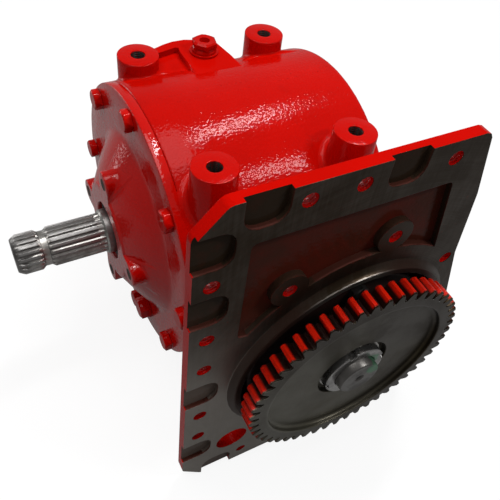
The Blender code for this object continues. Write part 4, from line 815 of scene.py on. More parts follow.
def sheet_mesh(name: str, points: Array) -> Piece:
    """Make a piece from a grid of points in the drawing frame.

    The grid's rows run along the profile and its columns round the piece. Quads join neighbours,
    and the last column joins the first. Faces are turned outwards by the sign of the sum of area
    normal times arm from the grid's middle.

    Args:
        name: The piece's name.
        points: The (rows, columns, 3) places.

    Returns:
        The piece.
    """
    rows, columns, _ = points.shape
    here = np.arange(rows * columns).reshape(rows, columns)
    there = np.roll(here, -1, axis=1)
    quads = np.stack((here[:-1], there[:-1], there[1:], here[1:]), axis=-1).reshape(-1, 4)
    places = points.reshape(-1, 3)
    corners = places[quads]
    normal = np.cross(corners[:, 2] - corners[:, 0], corners[:, 3] - corners[:, 1])
    arm = corners.mean(axis=1) - places.mean(axis=0)
    if (normal * arm).sum() < 0.0:
        quads = quads[:, ::-1]
    mesh = bpy.data.meshes.new(name)
    mesh.vertices.add(len(places))
    mesh.vertices.foreach_set("co", (places + ORIGIN).astype(np.float32).ravel())
    mesh.loops.add(quads.size)
    mesh.loops.foreach_set("vertex_index", quads.astype(np.int32).ravel())
    mesh.polygons.add(len(quads))
    mesh.polygons.foreach_set("loop_start", np.arange(0, quads.size, 4, dtype=np.int32))
    mesh.update(calc_edges=True)
    build = bmesh.new()
    build.from_mesh(mesh)
    bmesh.ops.remove_doubles(build, verts=build.verts, dist=1e-7)
    build.to_mesh(mesh)
    build.free()
    mesh.shade_smooth()
    mesh.set_sharp_from_angle(angle=SHARP)
    return add_object(name, mesh)


def turned_mesh(name: str, rows: list[tuple[Any, Any]], angle: Array,
                about: Callable[[Array, Array, Array], Array], lift: float = 0.0) -> Piece:
    """Make a piece from a profile that goes round an axis.

    Args:
        name: The piece's name.
        rows: (radius, place along the axis) from one end of the profile to the other.
        angle: The angles round the axis.
        about: Places points about the axis.
        lift: What every radius is enlarged by.

    Returns:
        The piece.
    """
    radii, axial = stack_rows(rows, angle)
    return sheet_mesh(name, about(axial, radii + lift, angle[None]))


def smooth_copy(name: str, node: Piece, angle: float = 35.0) -> Piece:
    """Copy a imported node, weld its loose triangles and shade its round faces smooth.

    A face that looks straight along an axis keeps its flat shading.

    Args:
        name: The new piece's name.
        node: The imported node.
        angle: Edges under this angle in degrees are shaded smooth.

    Returns:
        The piece.
    """
    mesh = node.data.copy()
    mesh.name = name
    build = bmesh.new()
    build.from_mesh(mesh)
    bmesh.ops.remove_doubles(build, verts=build.verts, dist=1e-6)
    bmesh.ops.dissolve_limit(build, angle_limit=math.radians(0.05), verts=build.verts, edges=build.edges)
    bmesh.ops.triangulate(build, faces=[f for f in build.faces if len(f.verts) > 4])
    build.to_mesh(mesh)
    build.free()
    mesh.shade_smooth()
    mesh.set_sharp_from_angle(angle=math.radians(angle))
    normals = np.empty(len(mesh.polygons) * 3)
    mesh.polygons.foreach_get("normal", normals)
    level = np.abs(normals.reshape(-1, 3)).max(axis=1) > 0.99999
    mesh.polygons.foreach_set("use_smooth", ~level)
    return add_object(name, mesh)


def move_points(piece: Piece, change: Callable[[Array], None]) -> None:
    """Move a piece's points in the drawing frame.

    Args:
        piece: The piece.
        change: Changes the (n, 3) places that it is given.
    """
    mesh = piece.data
    places = np.empty(len(mesh.vertices) * 3)
    mesh.vertices.foreach_get("co", places)
    places = places.reshape(-1, 3) - ORIGIN
    change(places)
    mesh.vertices.foreach_set("co", (places + ORIGIN).ravel())
    mesh.update()


def dress(piece: Piece, material: Material) -> None:
    """Give a piece one material."""
    piece.data.materials.clear()
    piece.data.materials.append(material)


def fit(piece: Piece, material: Material, body: Body, stands_for: str = "") -> None:
    """Dress a finished piece and tell the frame what it is.

    Args:
        piece: The piece.
        material: What it is made of.
        body: The body that it rides on.
        stands_for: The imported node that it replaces, if any.
    """
    dress(piece, material)
    if stands_for:
        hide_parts(stands_for)
    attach(piece, body.value)


def drum_height(y: Array) -> Array:
    """Height of the drum's skin: z = sqrt(R^2 - (y - axis)^2)."""
    offset = np.clip(np.abs(y - DRUM_AXIS_Y), 0.0, DRUM_RADIUS * 0.999)
    return np.sqrt((DRUM_RADIUS + SKIN) ** 2 - offset ** 2)


def raised_form(name: str, centre: tuple[float, float], wall: float, top: float, fillet: float,
                inner: list[tuple[float, float]], draft: float = 0.0) -> Piece:
    """A round form that stands on the drum: hole, flat top, wall and a fillet into the drum.

    For each angle round the centre, the wall stands at r down to the drum's height h plus the
    fillet f; the fillet's points are r + f (1 - cos t), h(there) + f (1 - sin t) for t from 0 to 90
    degrees, so its foot lies on the drum.

    Args:
        name: The piece's name.
        centre: The form's x and y.
        wall: The wall's radius.
        top: Height of the flat top.
        fillet: The fillet's size.
        inner: (radius, z) of the hole from its bottom up to the top face.
        draft: Growth of the wall's radius for each unit of height.

    Returns:
        The piece.
    """
    angle = np.linspace(0.0, 2 * np.pi, 96, endpoint=False)
    edge = 0.0005
    rows = [*inner, (wall - edge, top), (wall - edge * 0.3, top - edge * 0.3), (wall, top - edge)]
    foot = drum_height(centre[1] + wall * np.sin(angle)) + fillet
    foot = np.minimum(foot, top - edge * 1.5)
    for share in (0.35, 0.7, 1.0):
        low = top - edge + (foot - top + edge) * share
        rows.append((wall + draft * (top - low), low))
    for turn in np.radians((18.0, 36.0, 54.0, 72.0, 90.0)):
        radius = wall + draft * (top - foot) + fillet * (1.0 - math.cos(turn))
        low = drum_height(centre[1] + radius * np.sin(angle)) + fillet * (1.0 - math.sin(turn))
        rows.append((radius, np.minimum(low, foot)))
    radius = rows[-1][0] + 0.0015
    rows.append((radius, drum_height(centre[1] + radius * np.sin(angle)) - 0.0004))
    radii, heights = stack_rows(rows, angle)
    across, along = centre[0] + radii * np.cos(angle), centre[1] + radii * np.sin(angle)
    return sheet_mesh(name, np.stack((across, along, heights), axis=-1))


def tapped_wall(name: str, mouth: Place, inward: Place, radius: float, depth: float, pitch: float,
                ridge: float = 0.30, floor: bool = True) -> Piece:
    """The wall of a tapped hole: a tube whose radius waves with the thread.

    At depth s and angle a the radius is R - h p (1 + cos(2 pi s / p - a)) / 2, which is a helix of
    pitch p and height h p. The mouth is opened to R over the first half turn.

    Args:
        name: The piece's name.
        mouth: The middle of the hole's mouth.
        inward: The direction into the hole.
        radius: The hole's radius.
        depth: Its depth.
        pitch: The thread's pitch.
        ridge: The thread's height as a share of its pitch.
        floor: Whether a cone closes its end.

    Returns:
        The piece.
    """
    facets, rows_to_pitch = 40, 6
    axis = np.array(inward)
    side = np.roll(axis, 1)
    other = np.cross(axis, side)
    angle = np.linspace(0.0, 2 * np.pi, facets, endpoint=False)[None]
    down = np.linspace(0.0, depth, int(depth / pitch * rows_to_pitch))[:, None]
    wave = (1.0 + np.cos(2 * np.pi * down / pitch - angle)) / 2
    radii = radius - ridge * pitch * wave * np.clip(down / (0.5 * pitch), 0.0, 1.0)
    down = np.broadcast_to(down, radii.shape)
    if floor:
        radii = np.concatenate((radii, np.full_like(radii[:1], 0.0001)))
        down = np.concatenate((down, down[-1:] + radius * 0.5))
    around = side * np.cos(angle)[..., None] + other * np.sin(angle)[..., None]
    points = np.array(mouth) + axis * down[..., None] + around * radii[..., None]
    piece = sheet_mesh(name, points)
    piece.data.flip_normals()
    return piece


@dataclass
class Housing:
    """The casting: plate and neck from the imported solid, with smooth skins for drum and bosses."""

    nodes: dict[str, Piece]
    segments: int = 256
    end_x: float = 0.0880
    face_x: float = -0.0913
    boss_x: tuple[float, float] = (-0.0690, 0.0505)
    boss_y: tuple[float, float] = (0.1010, 0.2510)
    boss_radius: float = 0.0173
    boss_foot: tuple[float, float] = (0.0062, 0.0028)
    boss_draft: tuple[float, float] = (0.03, 0.0)
    boss_reach: float = 0.0250
    boss_low: float = 0.08
    boss_top: float = 0.1260
    boss_hole: float = 0.0062
    boss_thread: tuple[float, float] = (0.0190, 0.00175)
    plate_hole: float = 0.0055
    plate_thread: tuple[float, float] = (0.0084, 0.0018)
    plate_ridge: float = 0.05
    hub_radius: float = 0.0420
    drum_rounding: tuple[float, ...] = (0.0, 0.0004, 0.0060, 0.0, 0.0)
    plate_holes: tuple[tuple[float, float], ...] = (
        (-0.0638, 0.1830), (-0.0279, 0.1828), (0.0390, 0.1820), (0.0797, 0.0735), (-0.1189, 0.1347),
        (-0.1189, 0.0804), (-0.1189, 0.0444), (-0.1189, -0.0226), (-0.1189, -0.0580), *STUDS)

    def build_drum(self) -> Piece:
        """The drum's skin: a rounded profile turned about the input axis.

        Returns:
            The piece.
        """
        radius = DRUM_RADIUS + SKIN
        end = self.end_x + SKIN
        corners = np.array(((self.face_x, radius - 0.0005), (self.face_x + 0.0006, radius), (end, radius),
                            (end, self.hub_radius), (end - 0.0004, self.hub_radius - 0.0005)))
        profile = round_polyline(corners, self.drum_rounding, 8)
        length = np.linspace(profile[2], profile[2] + (0.08, 0.0), 3)
        profile = np.concatenate((profile[:2], length, profile[3:]))
        angle = np.linspace(0.0, 2 * np.pi, self.segments, endpoint=False)
        return turned_mesh("drum_skin", [(radius, x) for x, radius in profile], angle, about_input)

    def build_bosses(self) -> list[Piece]:
        """Four bosses.

        Returns:
            The pieces.
        """
        made = []
        top, hole = self.boss_top + SKIN, self.boss_hole - 0.00005
        inner = [(hole, top - 0.0060), (hole, top - 0.0004), (hole + 0.0004, top)]
        for i, x in enumerate(self.boss_x):
            for k, y in enumerate(self.boss_y):
                made.append(raised_form(f"boss_{i}{k}", (x, y), self.boss_radius + SKIN, top,
                                        self.boss_foot[k], inner, self.boss_draft[k]))
        return made

    def slim(self, places: Array) -> None:
        """Draw the copy's drum and its foot at the two back bosses in under their skins.

        A point above the drum and within reach of a boss's axis is moved straight towards that
        axis until it is inside the skin's wall. A point on the drum is moved towards the drum's
        axis in the same way.

        Args:
            places: The points of the copy of the casting.
        """
        above = np.hypot(places[:, 1] - DRUM_AXIS_Y, places[:, 2]) > DRUM_RADIUS - 0.0015
        for x in self.boss_x:
            middle = (x, self.boss_y[1])
            arm = places[:, :2] - middle
            reach = np.linalg.norm(arm, axis=1)
            wide = above & (reach > self.boss_radius - 0.0004) & (reach < self.boss_reach)
            wide &= places[:, 2] > self.boss_low
            share = (self.boss_radius - 0.0006) / np.maximum(reach, 1e-6)
            places[wide, :2] = middle + arm[wide] * share[wide, None]
        reach = np.hypot(places[:, 1] - DRUM_AXIS_Y, places[:, 2])
        outside = (reach > DRUM_RADIUS - 0.0006) & (reach < PACKED_DRUM)
        share = (DRUM_RADIUS - 0.0003) / np.maximum(reach, 1e-6)
        places[outside, 1] = DRUM_AXIS_Y + (places[outside, 1] - DRUM_AXIS_Y) * share[outside]
        places[outside, 2] *= share[outside]

    def build_threads(self) -> tuple[list[Piece], list[Piece]]:
        """The tapped walls in the bosses and in the plate.

        Returns:
            The bosses' pieces and the plate's.
        """
        down, back = (0.0, 0.0, -1.0), (0.0, 1.0, 0.0)
        places = [(i, k, x, y) for i, x in enumerate(self.boss_x) for k, y in enumerate(self.boss_y)]
        in_bosses = [tapped_wall(f"boss_thread_{i}{k}", (x, y, self.boss_top - 0.0006), down,
                                 self.boss_hole - 0.0001, *self.boss_thread) for i, k, x, y in places]
        in_plate = [tapped_wall(f"plate_thread_{k + 1}", (x, 0.0003, z), back, self.plate_hole - 0.0002,
                                *self.plate_thread, self.plate_ridge, False)
                    for k, (x, z) in enumerate(self.plate_holes)]
        return in_bosses, in_plate

    def build(self) -> list[Piece]:
        """Build and dress every piece of the casting.

        Returns:
            The pieces.
        """
        casting = smooth_copy("housing_casting", self.nodes["gearbox_housing"])
        move_points(casting, self.slim)
        fit(casting, PlatePaint().material("housing_paint"), Body.HOUSING, "gearbox_housing")
        paint = CastPaint().material("drum_paint")
        thread_paint = CastPaint(round_edge=0.0002, casting_depth=0.0001, drop_depth=0.0, gloss=0.4)
        thread_paint = thread_paint.material("thread_paint")
        oily = PlainFinish(grey(0.035, 0.10), grey(0.10, 0.08), 0.30, 0.85).material("oily_thread")
        skins = [self.build_drum(), *self.build_bosses()]
        in_bosses, in_plate = self.build_threads()
        for group, material in ((skins, paint), (in_bosses, oily), (in_plate, thread_paint)):
            for piece in group:
                fit(piece, material, Body.HOUSING)
        return [casting, *skins, *in_bosses, *in_plate]


@dataclass
class Cover:
    """The domed input cover with its quill and four ears."""

    segments: int = 512
    ring_radii: tuple[float, ...] = (0.0700, 0.0760, 0.0810, 0.0820, 0.0830, 0.0840, 0.0850, 0.0860, 0.0870,
                                     0.0900, 0.1060)
    back_radius: float = 0.0985
    edge: float = 0.0010
    face_x: float = -0.1000
    back_x: float = -0.0915
    quill_x: float = -0.1260
    cone_radius: float = 0.0840
    cone_top: tuple[float, float] = (-0.1240, 0.0500)
    quill_radius: float = 0.0440
    ear_circle: float = 0.0545
    ear_radius: float = 0.0110
    bore: float = 0.0262

    def quill_outline(self, angle: Array) -> Array:
        """Outline of the quill's face: the larger of the round face and four ears.

        An ear is a circle of radius e at distance c, with straight sides towards the middle. At an
        angle a from its middle the ray leaves it at c cos a + sqrt(e^2 - c^2 sin^2 a) where
        |tan a| < e / c, and at e / |sin a| elsewhere.

        Args:
            angle: Angles about the input axis.

        Returns:
            The outline's radius at each angle.
        """
        local = (angle + np.pi / 4) % (np.pi / 2) - np.pi / 4
        c, e = self.ear_circle, self.ear_radius
        sine = np.abs(np.sin(local))
        tip = c * np.cos(local) + np.sqrt(np.maximum(e * e - (c * sine) ** 2, 0.0))
        side = e / np.maximum(sine, 1e-6)
        ear = np.where(np.abs(np.tan(local)) < e / c, tip, side)
        return np.maximum(ear, self.quill_radius)

    def cone_x(self, radius: Array) -> Array:
        """The cover's outside: level at the top, straight down the cone, and flat beyond its foot.

        Within 3 mm of the foot at radius c, the slope d dies out as a parabola: face - d 3 mm
        (1 - s)^2, where s runs from nought to one across those 6 mm.

        Args:
            radius: Distances from the input axis.

        Returns:
            The outside's x at each distance.
        """
        blend = 0.003
        top_x, top_radius = self.cone_top
        drop = (self.face_x - top_x) / (self.cone_radius - top_radius)
        slope = self.face_x - drop * (self.cone_radius - radius)
        past = np.clip((radius - self.cone_radius) / (2 * blend) + 0.5, 0.0, 1.0)
        soft = self.face_x - drop * blend * (1.0 - past) ** 2
        near = np.abs(radius - self.cone_radius) < blend
        return np.maximum(np.where(near, soft, np.minimum(slope, self.face_x)), top_x)

    def build(self) -> list[Piece]:
        """Build and dress the cover.

        Returns:
            The pieces.
        """
        angle = np.linspace(0.0, 2 * np.pi, self.segments, endpoint=False)
        outline = self.quill_outline(angle)
        front, rim, edge = self.quill_x - SKIN, DRUM_RADIUS + SKIN, self.edge
        rows = [(self.bore, front + 0.0060), (self.bore, front + 0.0008), (self.bore + 0.0008, front)]
        rows += [(self.bore + (outline - self.bore) * share, front) for share in (0.35, 0.7)]
        rows += [(outline - edge, front), (outline - edge * 0.3, front + edge * 0.3), (outline, front + edge)]
        landing = self.cone_x(outline + 0.0004)
        for share in (0.5, 0.9):
            rows.append((outline + 0.0002 * share, front + edge + (landing - 0.0014 - front - edge) * share))
        for turn in np.radians((30.0, 60.0, 90.0)):
            radius = outline + 0.0003 + 0.0018 * (1 - math.cos(turn))
            rows.append((radius, self.cone_x(radius) - 0.0016 * (1 - math.sin(turn))))
        start = rows[-1][0]
        for radius in self.ring_radii:
            reach = np.maximum(start + (radius - 0.0640) * 0.02, radius)
            rows.append((reach, self.cone_x(reach)))
        rows += [(rim - edge, self.face_x), (rim - edge * 0.3, self.face_x + edge * 0.3),
                 (rim, self.face_x + edge), (rim, self.back_x - edge),
                 (rim - edge * 0.3, self.back_x - edge * 0.3), (rim - edge, self.back_x),
                 (self.back_radius, self.back_x)]
        cover = turned_mesh("cover_casting", rows, angle, about_input)
        fit(cover, CastPaint(gloss=0.30).material("cover_paint"), Body.HOUSING, "input_cover")
        return [cover, *self.build_ear_holes()]

    def build_ear_holes(self) -> list[Piece]:
        """The ears' tapped holes: a chamfered rim round a dark, slightly sunk floor, a painted-shade disc in
        place of the hole.

        Returns:
            The pieces.
        """
        made = []
        around = np.linspace(0.0, 2 * np.pi, 40, endpoint=False)
        line = [(0.0001, 0.0), (0.0038, 0.0), (0.0042, -0.00012), (0.0052, -0.00004)]
        radius, lift = stack_rows(line, around)
        for k in range(4):
            turn = k * math.pi / 2
            y = DRUM_AXIS_Y + self.ear_circle * math.cos(turn)
            z = self.ear_circle * math.sin(turn)
            points = (self.quill_x - 3 * SKIN + lift, y + radius * np.cos(around), z + radius * np.sin(around))
            hole = sheet_mesh(f"ear_hole_{k + 1}", np.stack(points, axis=-1))
            # Painted shade: a near-black sheet stands for the hole's dark inside.
            dark = PlainFinish(grey(0.012, 0.2), grey(0.03, 0.5), 0.75, 0.0)
            fit(hole, dark.material(f"ear_hole_{k + 1}"), Body.HOUSING)
            made.append(hole)
        return made


@dataclass
class InputShaft:
    """The splined stub and the plain journal behind it."""

    splines: int = 21
    per_spline: int = 20
    tip: float = 0.01745
    root: float = 0.0155
    end: float = -0.2075
    chamfer: float = 0.0052
    face_radius: float = 0.0145
    groove_at: float = -0.1820
    groove_arc: float = 0.0068
    groove_radius: float = 0.0147
    runout: float = -0.1365
    shoulder: float = -0.1315
    journal: float = 0.0200
    stop: float = -0.1180
    turn: float = 0.03
    shortened: float = 0.0070

    def section(self, angle: Array) -> Array:
        """Radius of the splined section: a smooth wave with flat tips and roots.

        The wave's share is a smooth step of |saw(a)| from 0.20 to 0.34 of a pitch, so the tooth is
        flat within 0.20 and the gap is flat beyond 0.34.

        Args:
            angle: Angles about the shaft.

        Returns:
            The radius at each angle.
        """
        saw = np.abs((angle * self.splines / (2 * np.pi) + 0.5) % 1.0 - 0.5)
        step = np.clip((saw - 0.20) / 0.13, 0.0, 1.0)
        step = step * step * (3 - 2 * step)
        return self.tip + (self.root - self.tip) * step

    def build(self, nodes: dict[str, Piece]) -> list[Piece]:
        """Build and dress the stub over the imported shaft.

        Args:
            nodes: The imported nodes.

        Returns:
            The pieces.
        """
        angle = np.linspace(0.0, 2 * np.pi, self.splines * self.per_spline, endpoint=False)
        section = self.section(angle + self.turn)
        face = np.minimum(section, self.face_radius)
        half = math.sqrt(self.groove_arc ** 2 - (self.groove_radius + self.groove_arc - self.tip) ** 2)
        rows = [(0.0001, self.end + 0.0045), (0.0032, self.end + 0.0006), (0.0036, self.end),
                (face - 0.0004, self.end), (face, self.end + 0.0004)]
        for share in (0.35, 0.7, 1.0):
            limit = self.face_radius + (self.tip - self.face_radius) * share
            rows.append((np.minimum(section, limit), self.end + self.chamfer * share))
        for share in np.linspace(-1.0, 1.0, 11):
            limit = self.groove_radius + self.groove_arc - math.sqrt(self.groove_arc ** 2 - (share * half) ** 2)
            rows.append((np.minimum(section, limit), self.groove_at + share * half))
        for share in np.linspace(0.0, 1.0, 7):
            lift = section + (self.tip - section) * (1 - math.sqrt(1 - share * share))
            rows.append((lift, self.runout + (self.shoulder - self.runout) * share))
        rows += [(self.tip, self.shoulder + 0.0002), (self.tip + 0.0012, self.shoulder + 0.0003),
                 (self.journal, self.shoulder + 0.0015), (self.journal, self.stop)]
        stub = turned_mesh("splined_stub", rows, angle, about_input, SKIN)
        steel = TurnedSteel(grey(0.29, 0.03), grey(0.09, 0.05), 0.29, 0.45, root_radius=self.root, drawn=True)
        fit(stub, steel.material("stub_steel"), Body.INPUT)
        inner = smooth_copy("input_shaft_dressed", nodes["input_shaft"])
        move_points(inner, self.shorten)
        fit(inner, TurnedSteel().material("input_shaft_steel"), Body.INPUT, "input_shaft")
        return [stub, inner]

    def shorten(self, places: Array) -> None:
        """Draw the copy's end in behind the stub's own end face."""
        places[:, 0] = np.maximum(places[:, 0], self.end + self.shortened)


@dataclass
class OutputGear:
    """The spur gear, its nut and the shaft."""

    module: float = 0.0035
    teeth: int = 51
    front: float = -0.0272
    back: float = -0.0123
    pressure: float = math.radians(20.0)
    shaft_smooth: float = 25.0
    dish_radius: float = 0.0771
    dish_depth: float = 0.0052
    dish_rounding: tuple[float, ...] = (0.0, 0.0006, 0.0008, 0.0038, 0.0010, 0.0)
    pocket_radius: float = 0.0310
    pocket_floor: float = -0.0165
    bore: float = 0.0205
    hub_radius: float = 0.0380
    hub_back: float = -0.0030
    rim_radius: float = 0.0834
    chamfer: float = 0.0007
    chamfer_from: float = 0.0848
    back_dish: float = 0.0035
    turn: float = math.radians(-3.01)

    def flank(self) -> tuple[Array, Array]:
        """A tooth's half outline, from its tip down to its root.

        A flank's half angle at radius r is half a pitch at the pitch circle plus inv(pressure) less
        inv(acos(base / r)); two more points round its foot.

        Returns:
            The half angles and the radii.
        """
        pitch = self.module * self.teeth / 2
        base = pitch * math.cos(self.pressure)
        low, high = pitch - 1.25 * self.module, pitch + self.module
        radius = np.linspace(high, max(base, low) + 1e-5, 7)
        roll = np.arccos(base / radius)
        centre = math.pi / (2 * self.teeth) + math.tan(self.pressure) - self.pressure
        half = centre - (np.tan(roll) - roll)
        return np.append(half, [half[-1] * 1.12, half[-1] * 1.30]), np.append(radius, [low + 0.0003, low])

    def outline(self, angle: Array) -> Array:
        """Radius of the toothed outline, read from the flank at each angle.

        Args:
            angle: Angles round the gear.

        Returns:
            The radius at each angle.
        """
        half, radius = self.flank()
        local = np.abs((angle * self.teeth / (2 * np.pi) + 0.5) % 1.0 - 0.5) * 2 * np.pi / self.teeth
        return np.interp(local, half, radius)

    def angles(self) -> Array:
        """Each tooth's own angles, which are its outline's corners, repeated round the gear.

        Returns:
            The angles round the gear.
        """
        half, _ = self.flank()
        local = np.concatenate((-half[::-1], half, [math.pi / self.teeth]))
        start = 2 * np.pi * np.arange(self.teeth) / self.teeth
        return (start[:, None] + local[None]).ravel()

    def build_gear(self) -> Piece:
        """The gear: dish, rim face, chamfered teeth and back face.

        Returns:
            The piece.
        """
        angle = self.angles()
        outline = self.outline(angle)
        front, back, inner = self.front, self.back, self.rim_radius
        floor, sunk = front + self.dish_depth, back - self.back_dish
        dish = np.array(((self.bore, self.pocket_floor), (self.pocket_radius, self.pocket_floor),
                         (self.pocket_radius, floor), (self.dish_radius, floor), (self.dish_radius, front),
                         (self.dish_radius + 0.0030, front)))
        rows = [(radius, axial) for radius, axial in round_polyline(dish, self.dish_rounding, 5)]
        cut = self.chamfer * ((outline - self.chamfer_from) / 0.008).clip(0.0, 1.0)
        rows += [(inner, front), (np.minimum(outline, inner + 0.0004), front), (outline - cut, front),
                 (outline, front + self.chamfer)]
        rows += [(outline, front + (back - front) * share) for share in (0.35, 0.7)]
        rows += [(outline, back - self.chamfer), (outline - self.chamfer, back), (inner, back),
                 (0.0790, back), (self.dish_radius, sunk), (self.hub_radius + 0.0020, sunk),
                 (self.hub_radius, back), (self.hub_radius, self.hub_back), (self.bore, self.hub_back)]
        return turned_mesh("output_gear_body", rows, angle + self.turn, about_output)

    def build(self, nodes: dict[str, Piece]) -> list[Piece]:
        """Build and dress the gear, nut, washer and shaft.

        Args:
            nodes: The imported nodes.

        Returns:
            The pieces.
        """
        gear = self.build_gear()
        shaft = smooth_copy("output_shaft_dressed", nodes["output_shaft"], self.shaft_smooth)
        nut = smooth_copy("locknut", nodes["gear_locknut"])
        bright = MarkedSteel(grey(0.36, 0.03), grey(0.13, 0.06), 0.24, 0.55, False)
        dull = MarkedSteel(grey(0.120, 0.06), grey(0.055, 0.08), 0.34, 0.60, False)
        fit(gear, GearFinish().material("output_gear_steel"), Body.OUTPUT, "output_gear")
        fit(shaft, dull.material("output_shaft_steel"), Body.OUTPUT, "output_shaft")
        fit(nut, bright.material("locknut_steel"), Body.OUTPUT, "gear_locknut")
        dress(nodes["gear_lock_washer"], TurnedSteel(along_x=False).material("washer_steel"))
        return [gear, shaft, nut]


@dataclass
class SmallParts:
    """Bolts, plugs, breather, seals and the inner works, dressed by what they are made of."""

    nodes: dict[str, Piece]
    smooth: float = 24.0
    painted: tuple[str, ...] = ("input_cover_bolt", "rear_cap", "breather", "drain_plug", "level_plug",
                                "cover_plug")
    dressed: tuple[str, ...] = ("gearbox_housing", "input_cover", "input_shaft", "output_gear",
                                "gear_locknut", "gear_lock_washer", "output_shaft")

    def finish_of(self, name: str) -> tuple[str, CastPaint | TurnedSteel | PlainFinish]:
        """The finish that a node takes.

        Args:
            name: The node's name.

        Returns:
            The finish's name and the finish.
        """
        along_x = name.startswith("input")
        if name.startswith(self.painted):
            return "fastener_paint", CastPaint(round_edge=0.00016, casting_depth=0.00004,
                                               peel_depth=0.00004, drop_depth=0.0)
        if name == "output_seal_carrier":
            # Partly painted shade: the seal carrier behind the gear is near black, for the shade there as well
            # as dark iron.
            maroon_and_shade, brown = (0.030, 0.009, 0.007, 1.0), (0.048, 0.018, 0.014, 1.0)
            return "carrier_iron_and_shade", PlainFinish(maroon_and_shade, brown, 0.55, 0.2)
        if "seal" in name and "sleeve" not in name and "bolt" not in name:
            return "seal_rubber", PlainFinish(grey(0.018), grey(0.035), 0.62, 0.0)
        if "gasket" in name:
            return "gasket_paint", CastPaint(casting_depth=0.0001)
        if "bolt" in name or "locknut" in name:
            return "black_steel", PlainFinish(grey(0.07), grey(0.14, 0.1), 0.42, 0.9)
        if "bevel" in name:
            return f"bevel_steel_{along_x}", TurnedSteel(grey(0.22, 0.04), grey(0.08, 0.1), 0.34, 0.5, along_x)
        return f"ground_steel_{along_x}", TurnedSteel(roughness=0.24, stained=0.3, along_x=along_x)

    def build(self) -> list[Piece]:
        """Dress the remaining nodes, and replace the painted ones by smooth-shaded copies.

        Returns:
            The pieces that replace nodes.
        """
        made: dict[str, Material] = {}
        pieces = []
        for name, node in sorted(self.nodes.items()):
            if name in self.dressed:
                continue
            key, finish = self.finish_of(name)
            if key not in made:
                made[key] = finish.material(key)
            if name.startswith(self.painted):
                piece = smooth_copy(f"{name}_dressed", node, self.smooth)
                fit(piece, made[key], Body(node["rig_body"]), name)
                pieces.append(piece)
            else:
                dress(node, made[key])
        return pieces


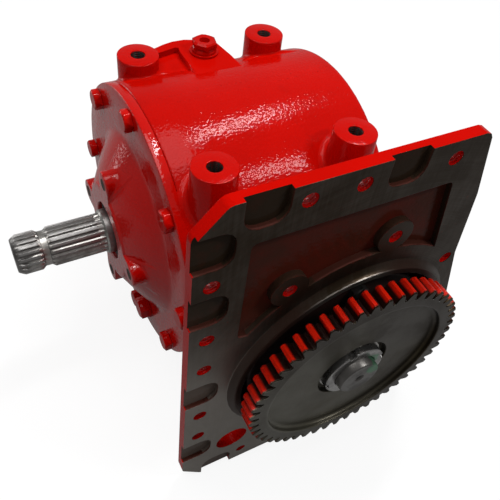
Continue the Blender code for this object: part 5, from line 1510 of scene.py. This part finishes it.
@dataclass
class Studio:
    """Floor, lights and the camera that stands where the photograph was taken."""

    place: Place = (-0.2192, -0.1801, 0.3994)
    azimuth: float = math.radians(-34.06)
    elevation: float = math.radians(48.42)
    roll: float = math.radians(8.96)
    focal_px: float = 599.86
    centre_px: tuple[float, float] = (249.36, 253.80)
    image_px: float = 500.0
    film: float = 36.0
    middle: Place = (0.0, 0.0, 0.17)
    ambient: float = 0.20
    mirrored: float = 0.16
    floor_reach: float = 6.0
    floor_seen: float = 0.84
    floor_white: float = 1.06

    def build_camera(self) -> None:
        """Place the camera: its right and up turn by the roll about the line of sight."""
        a, e = self.azimuth, self.elevation
        back = Vector((math.sin(a) * math.cos(e), -math.cos(a) * math.cos(e), math.sin(e)))
        level = (-back).cross(Vector((0.0, 0.0, 1.0))).normalized()
        upright = level.cross(-back)
        right = level * math.cos(self.roll) + upright * math.sin(self.roll)
        up = upright * math.cos(self.roll) - level * math.sin(self.roll)
        data = bpy.data.cameras.new("photo_camera")
        data.sensor_width = self.film
        data.lens = self.focal_px * self.film / self.image_px
        data.shift_x = (self.image_px / 2 - self.centre_px[0]) / self.image_px
        data.shift_y = (self.centre_px[1] - self.image_px / 2) / self.image_px
        data.clip_start = 0.01
        camera = add_object("photo_camera", data)
        camera.matrix_world = Matrix((
            (right.x, up.x, back.x, self.place[0] + ORIGIN[0]),
            (right.y, up.y, back.y, self.place[1] + ORIGIN[1]),
            (right.z, up.z, back.z, self.place[2] + ORIGIN[2]), (0.0, 0.0, 0.0, 1.0)))
        bpy.context.scene.camera = camera

    def add_lamp(self, name: str, toward: Place, distance: float, size: tuple[float, float], level: float,
                 slant: float = 0.0) -> None:
        """A soft light that faces the object, with its first side along X or slanting back from it.

        A lamp of power P at distance d lights a white face that looks at it to P / (pi d)^2.

        Args:
            name: The lamp's name.
            toward: Where it stands, as a direction from the object.
            distance: How far away it stands.
            size: Its sides in metres.
            level: How bright it makes a white face, where one is white.
            slant: How far its first side runs back for each metre along X.
        """
        data = bpy.data.lights.new(name, "AREA")
        data.shape = "RECTANGLE"
        data.size, data.size_y = size
        data.energy = level * (math.pi * distance) ** 2
        lamp = add_object(name, data)
        aim = Vector(toward).normalized()
        side = Vector((1.0, slant, 0.0))
        along = (side - aim * aim.dot(side)).normalized()
        turn = Matrix((along, aim.cross(along), aim)).transposed()
        lamp.matrix_world = Matrix.Translation(Vector(self.middle) + aim * distance) @ turn.to_4x4()

    def seen(self, tree: Tree, share: float) -> Value:
        """How white the surroundings look: a share to the camera, and faintly in glossy faces.

        Args:
            tree: The tree to fill.
            share: What the camera sees, also through glass.

        Returns:
            The share for each ray.
        """
        path = tree.node("ShaderNodeLightPath", {}, {})
        direct = tree.value(path, "Is Camera Ray").most(tree.value(path, "Is Transmission Ray"))
        return (direct * share).most(tree.value(path, "Is Glossy Ray") * self.mirrored)

    def build_world(self) -> None:
        """A soft dim world that the camera sees as white and that glossy faces mirror faintly."""
        world = bpy.data.worlds.new("studio")
        bpy.context.scene.world = world
        tree = Tree(world)
        strength = self.ambient + (1.0 - self.ambient) * self.seen(tree, 1.0)
        background = tree.node("ShaderNodeBackground", {}, {"Strength": strength})
        tree.node("ShaderNodeOutputWorld", {}, {0: background.outputs[0]})

    def build_floor(self) -> Piece:
        """A pale floor that looks white to the camera and keeps a soft shadow.

        Returns:
            The floor.
        """
        mesh = bpy.data.meshes.new("floor")
        far = self.floor_reach
        mesh.from_pydata([(-far, -far, 0.0), (far, -far, 0.0), (far, far, 0.0), (-far, far, 0.0)],
                         [], [(0, 1, 2, 3)])
        floor = add_object("floor", mesh)
        tree = Surface("floor_paper")
        seen = self.seen(tree, self.floor_seen)
        path = tree.node("ShaderNodeLightPath", {}, {})
        shade = tree.mix(tree.value(path, "Is Camera Ray"), grey(0.24), grey(0.85))
        paper = tree.node("ShaderNodeBsdfDiffuse", {}, {"Color": shade})
        white = tree.node("ShaderNodeEmission", {}, {"Color": grey(1.0), "Strength": self.floor_white})
        blend = tree.node("ShaderNodeMixShader", {}, {0: seen, 1: paper.outputs[0], 2: white.outputs[0]})
        tree.node("ShaderNodeOutputMaterial", {}, {0: blend.outputs[0]})
        dress(floor, tree.material)
        return floor

    def build(self) -> None:
        """Build everything round the object."""
        self.build_camera()
        self.build_world()
        self.build_floor()
        self.add_lamp("ceiling", (-0.25, 0.05, 0.97), 1.9, (1.20, 1.20), 0.46)
        self.add_lamp("strip", (0.29, 0.185, 0.90), 1.7, (0.80, 0.13), 0.50, 0.38)
        self.add_lamp("front", (0.47, -0.45, 0.76), 1.7, (0.46, 0.15), 0.22)
        self.add_lamp("back", (-0.42, 0.88, 0.12), 1.8, (0.90, 0.60), 0.14)
        bpy.context.scene.view_settings.view_transform = "Standard"


def main() -> None:
    """Build the studio and each sub-assembly in order, and report them."""
    logging.basicConfig(level=logging.INFO, format="%(name)s: %(message)s")
    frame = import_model()
    nodes = frame["nodes"]
    Studio().build()
    pieces = [*Housing(nodes).build(), *Cover().build(), *InputShaft().build(nodes),
              *OutputGear().build(nodes), *SmallParts(nodes).build()]
    for piece in pieces:
        LOG.info("%s: %d faces", piece.name, len(piece.data.polygons))


if __name__ == "__main__":
    main()
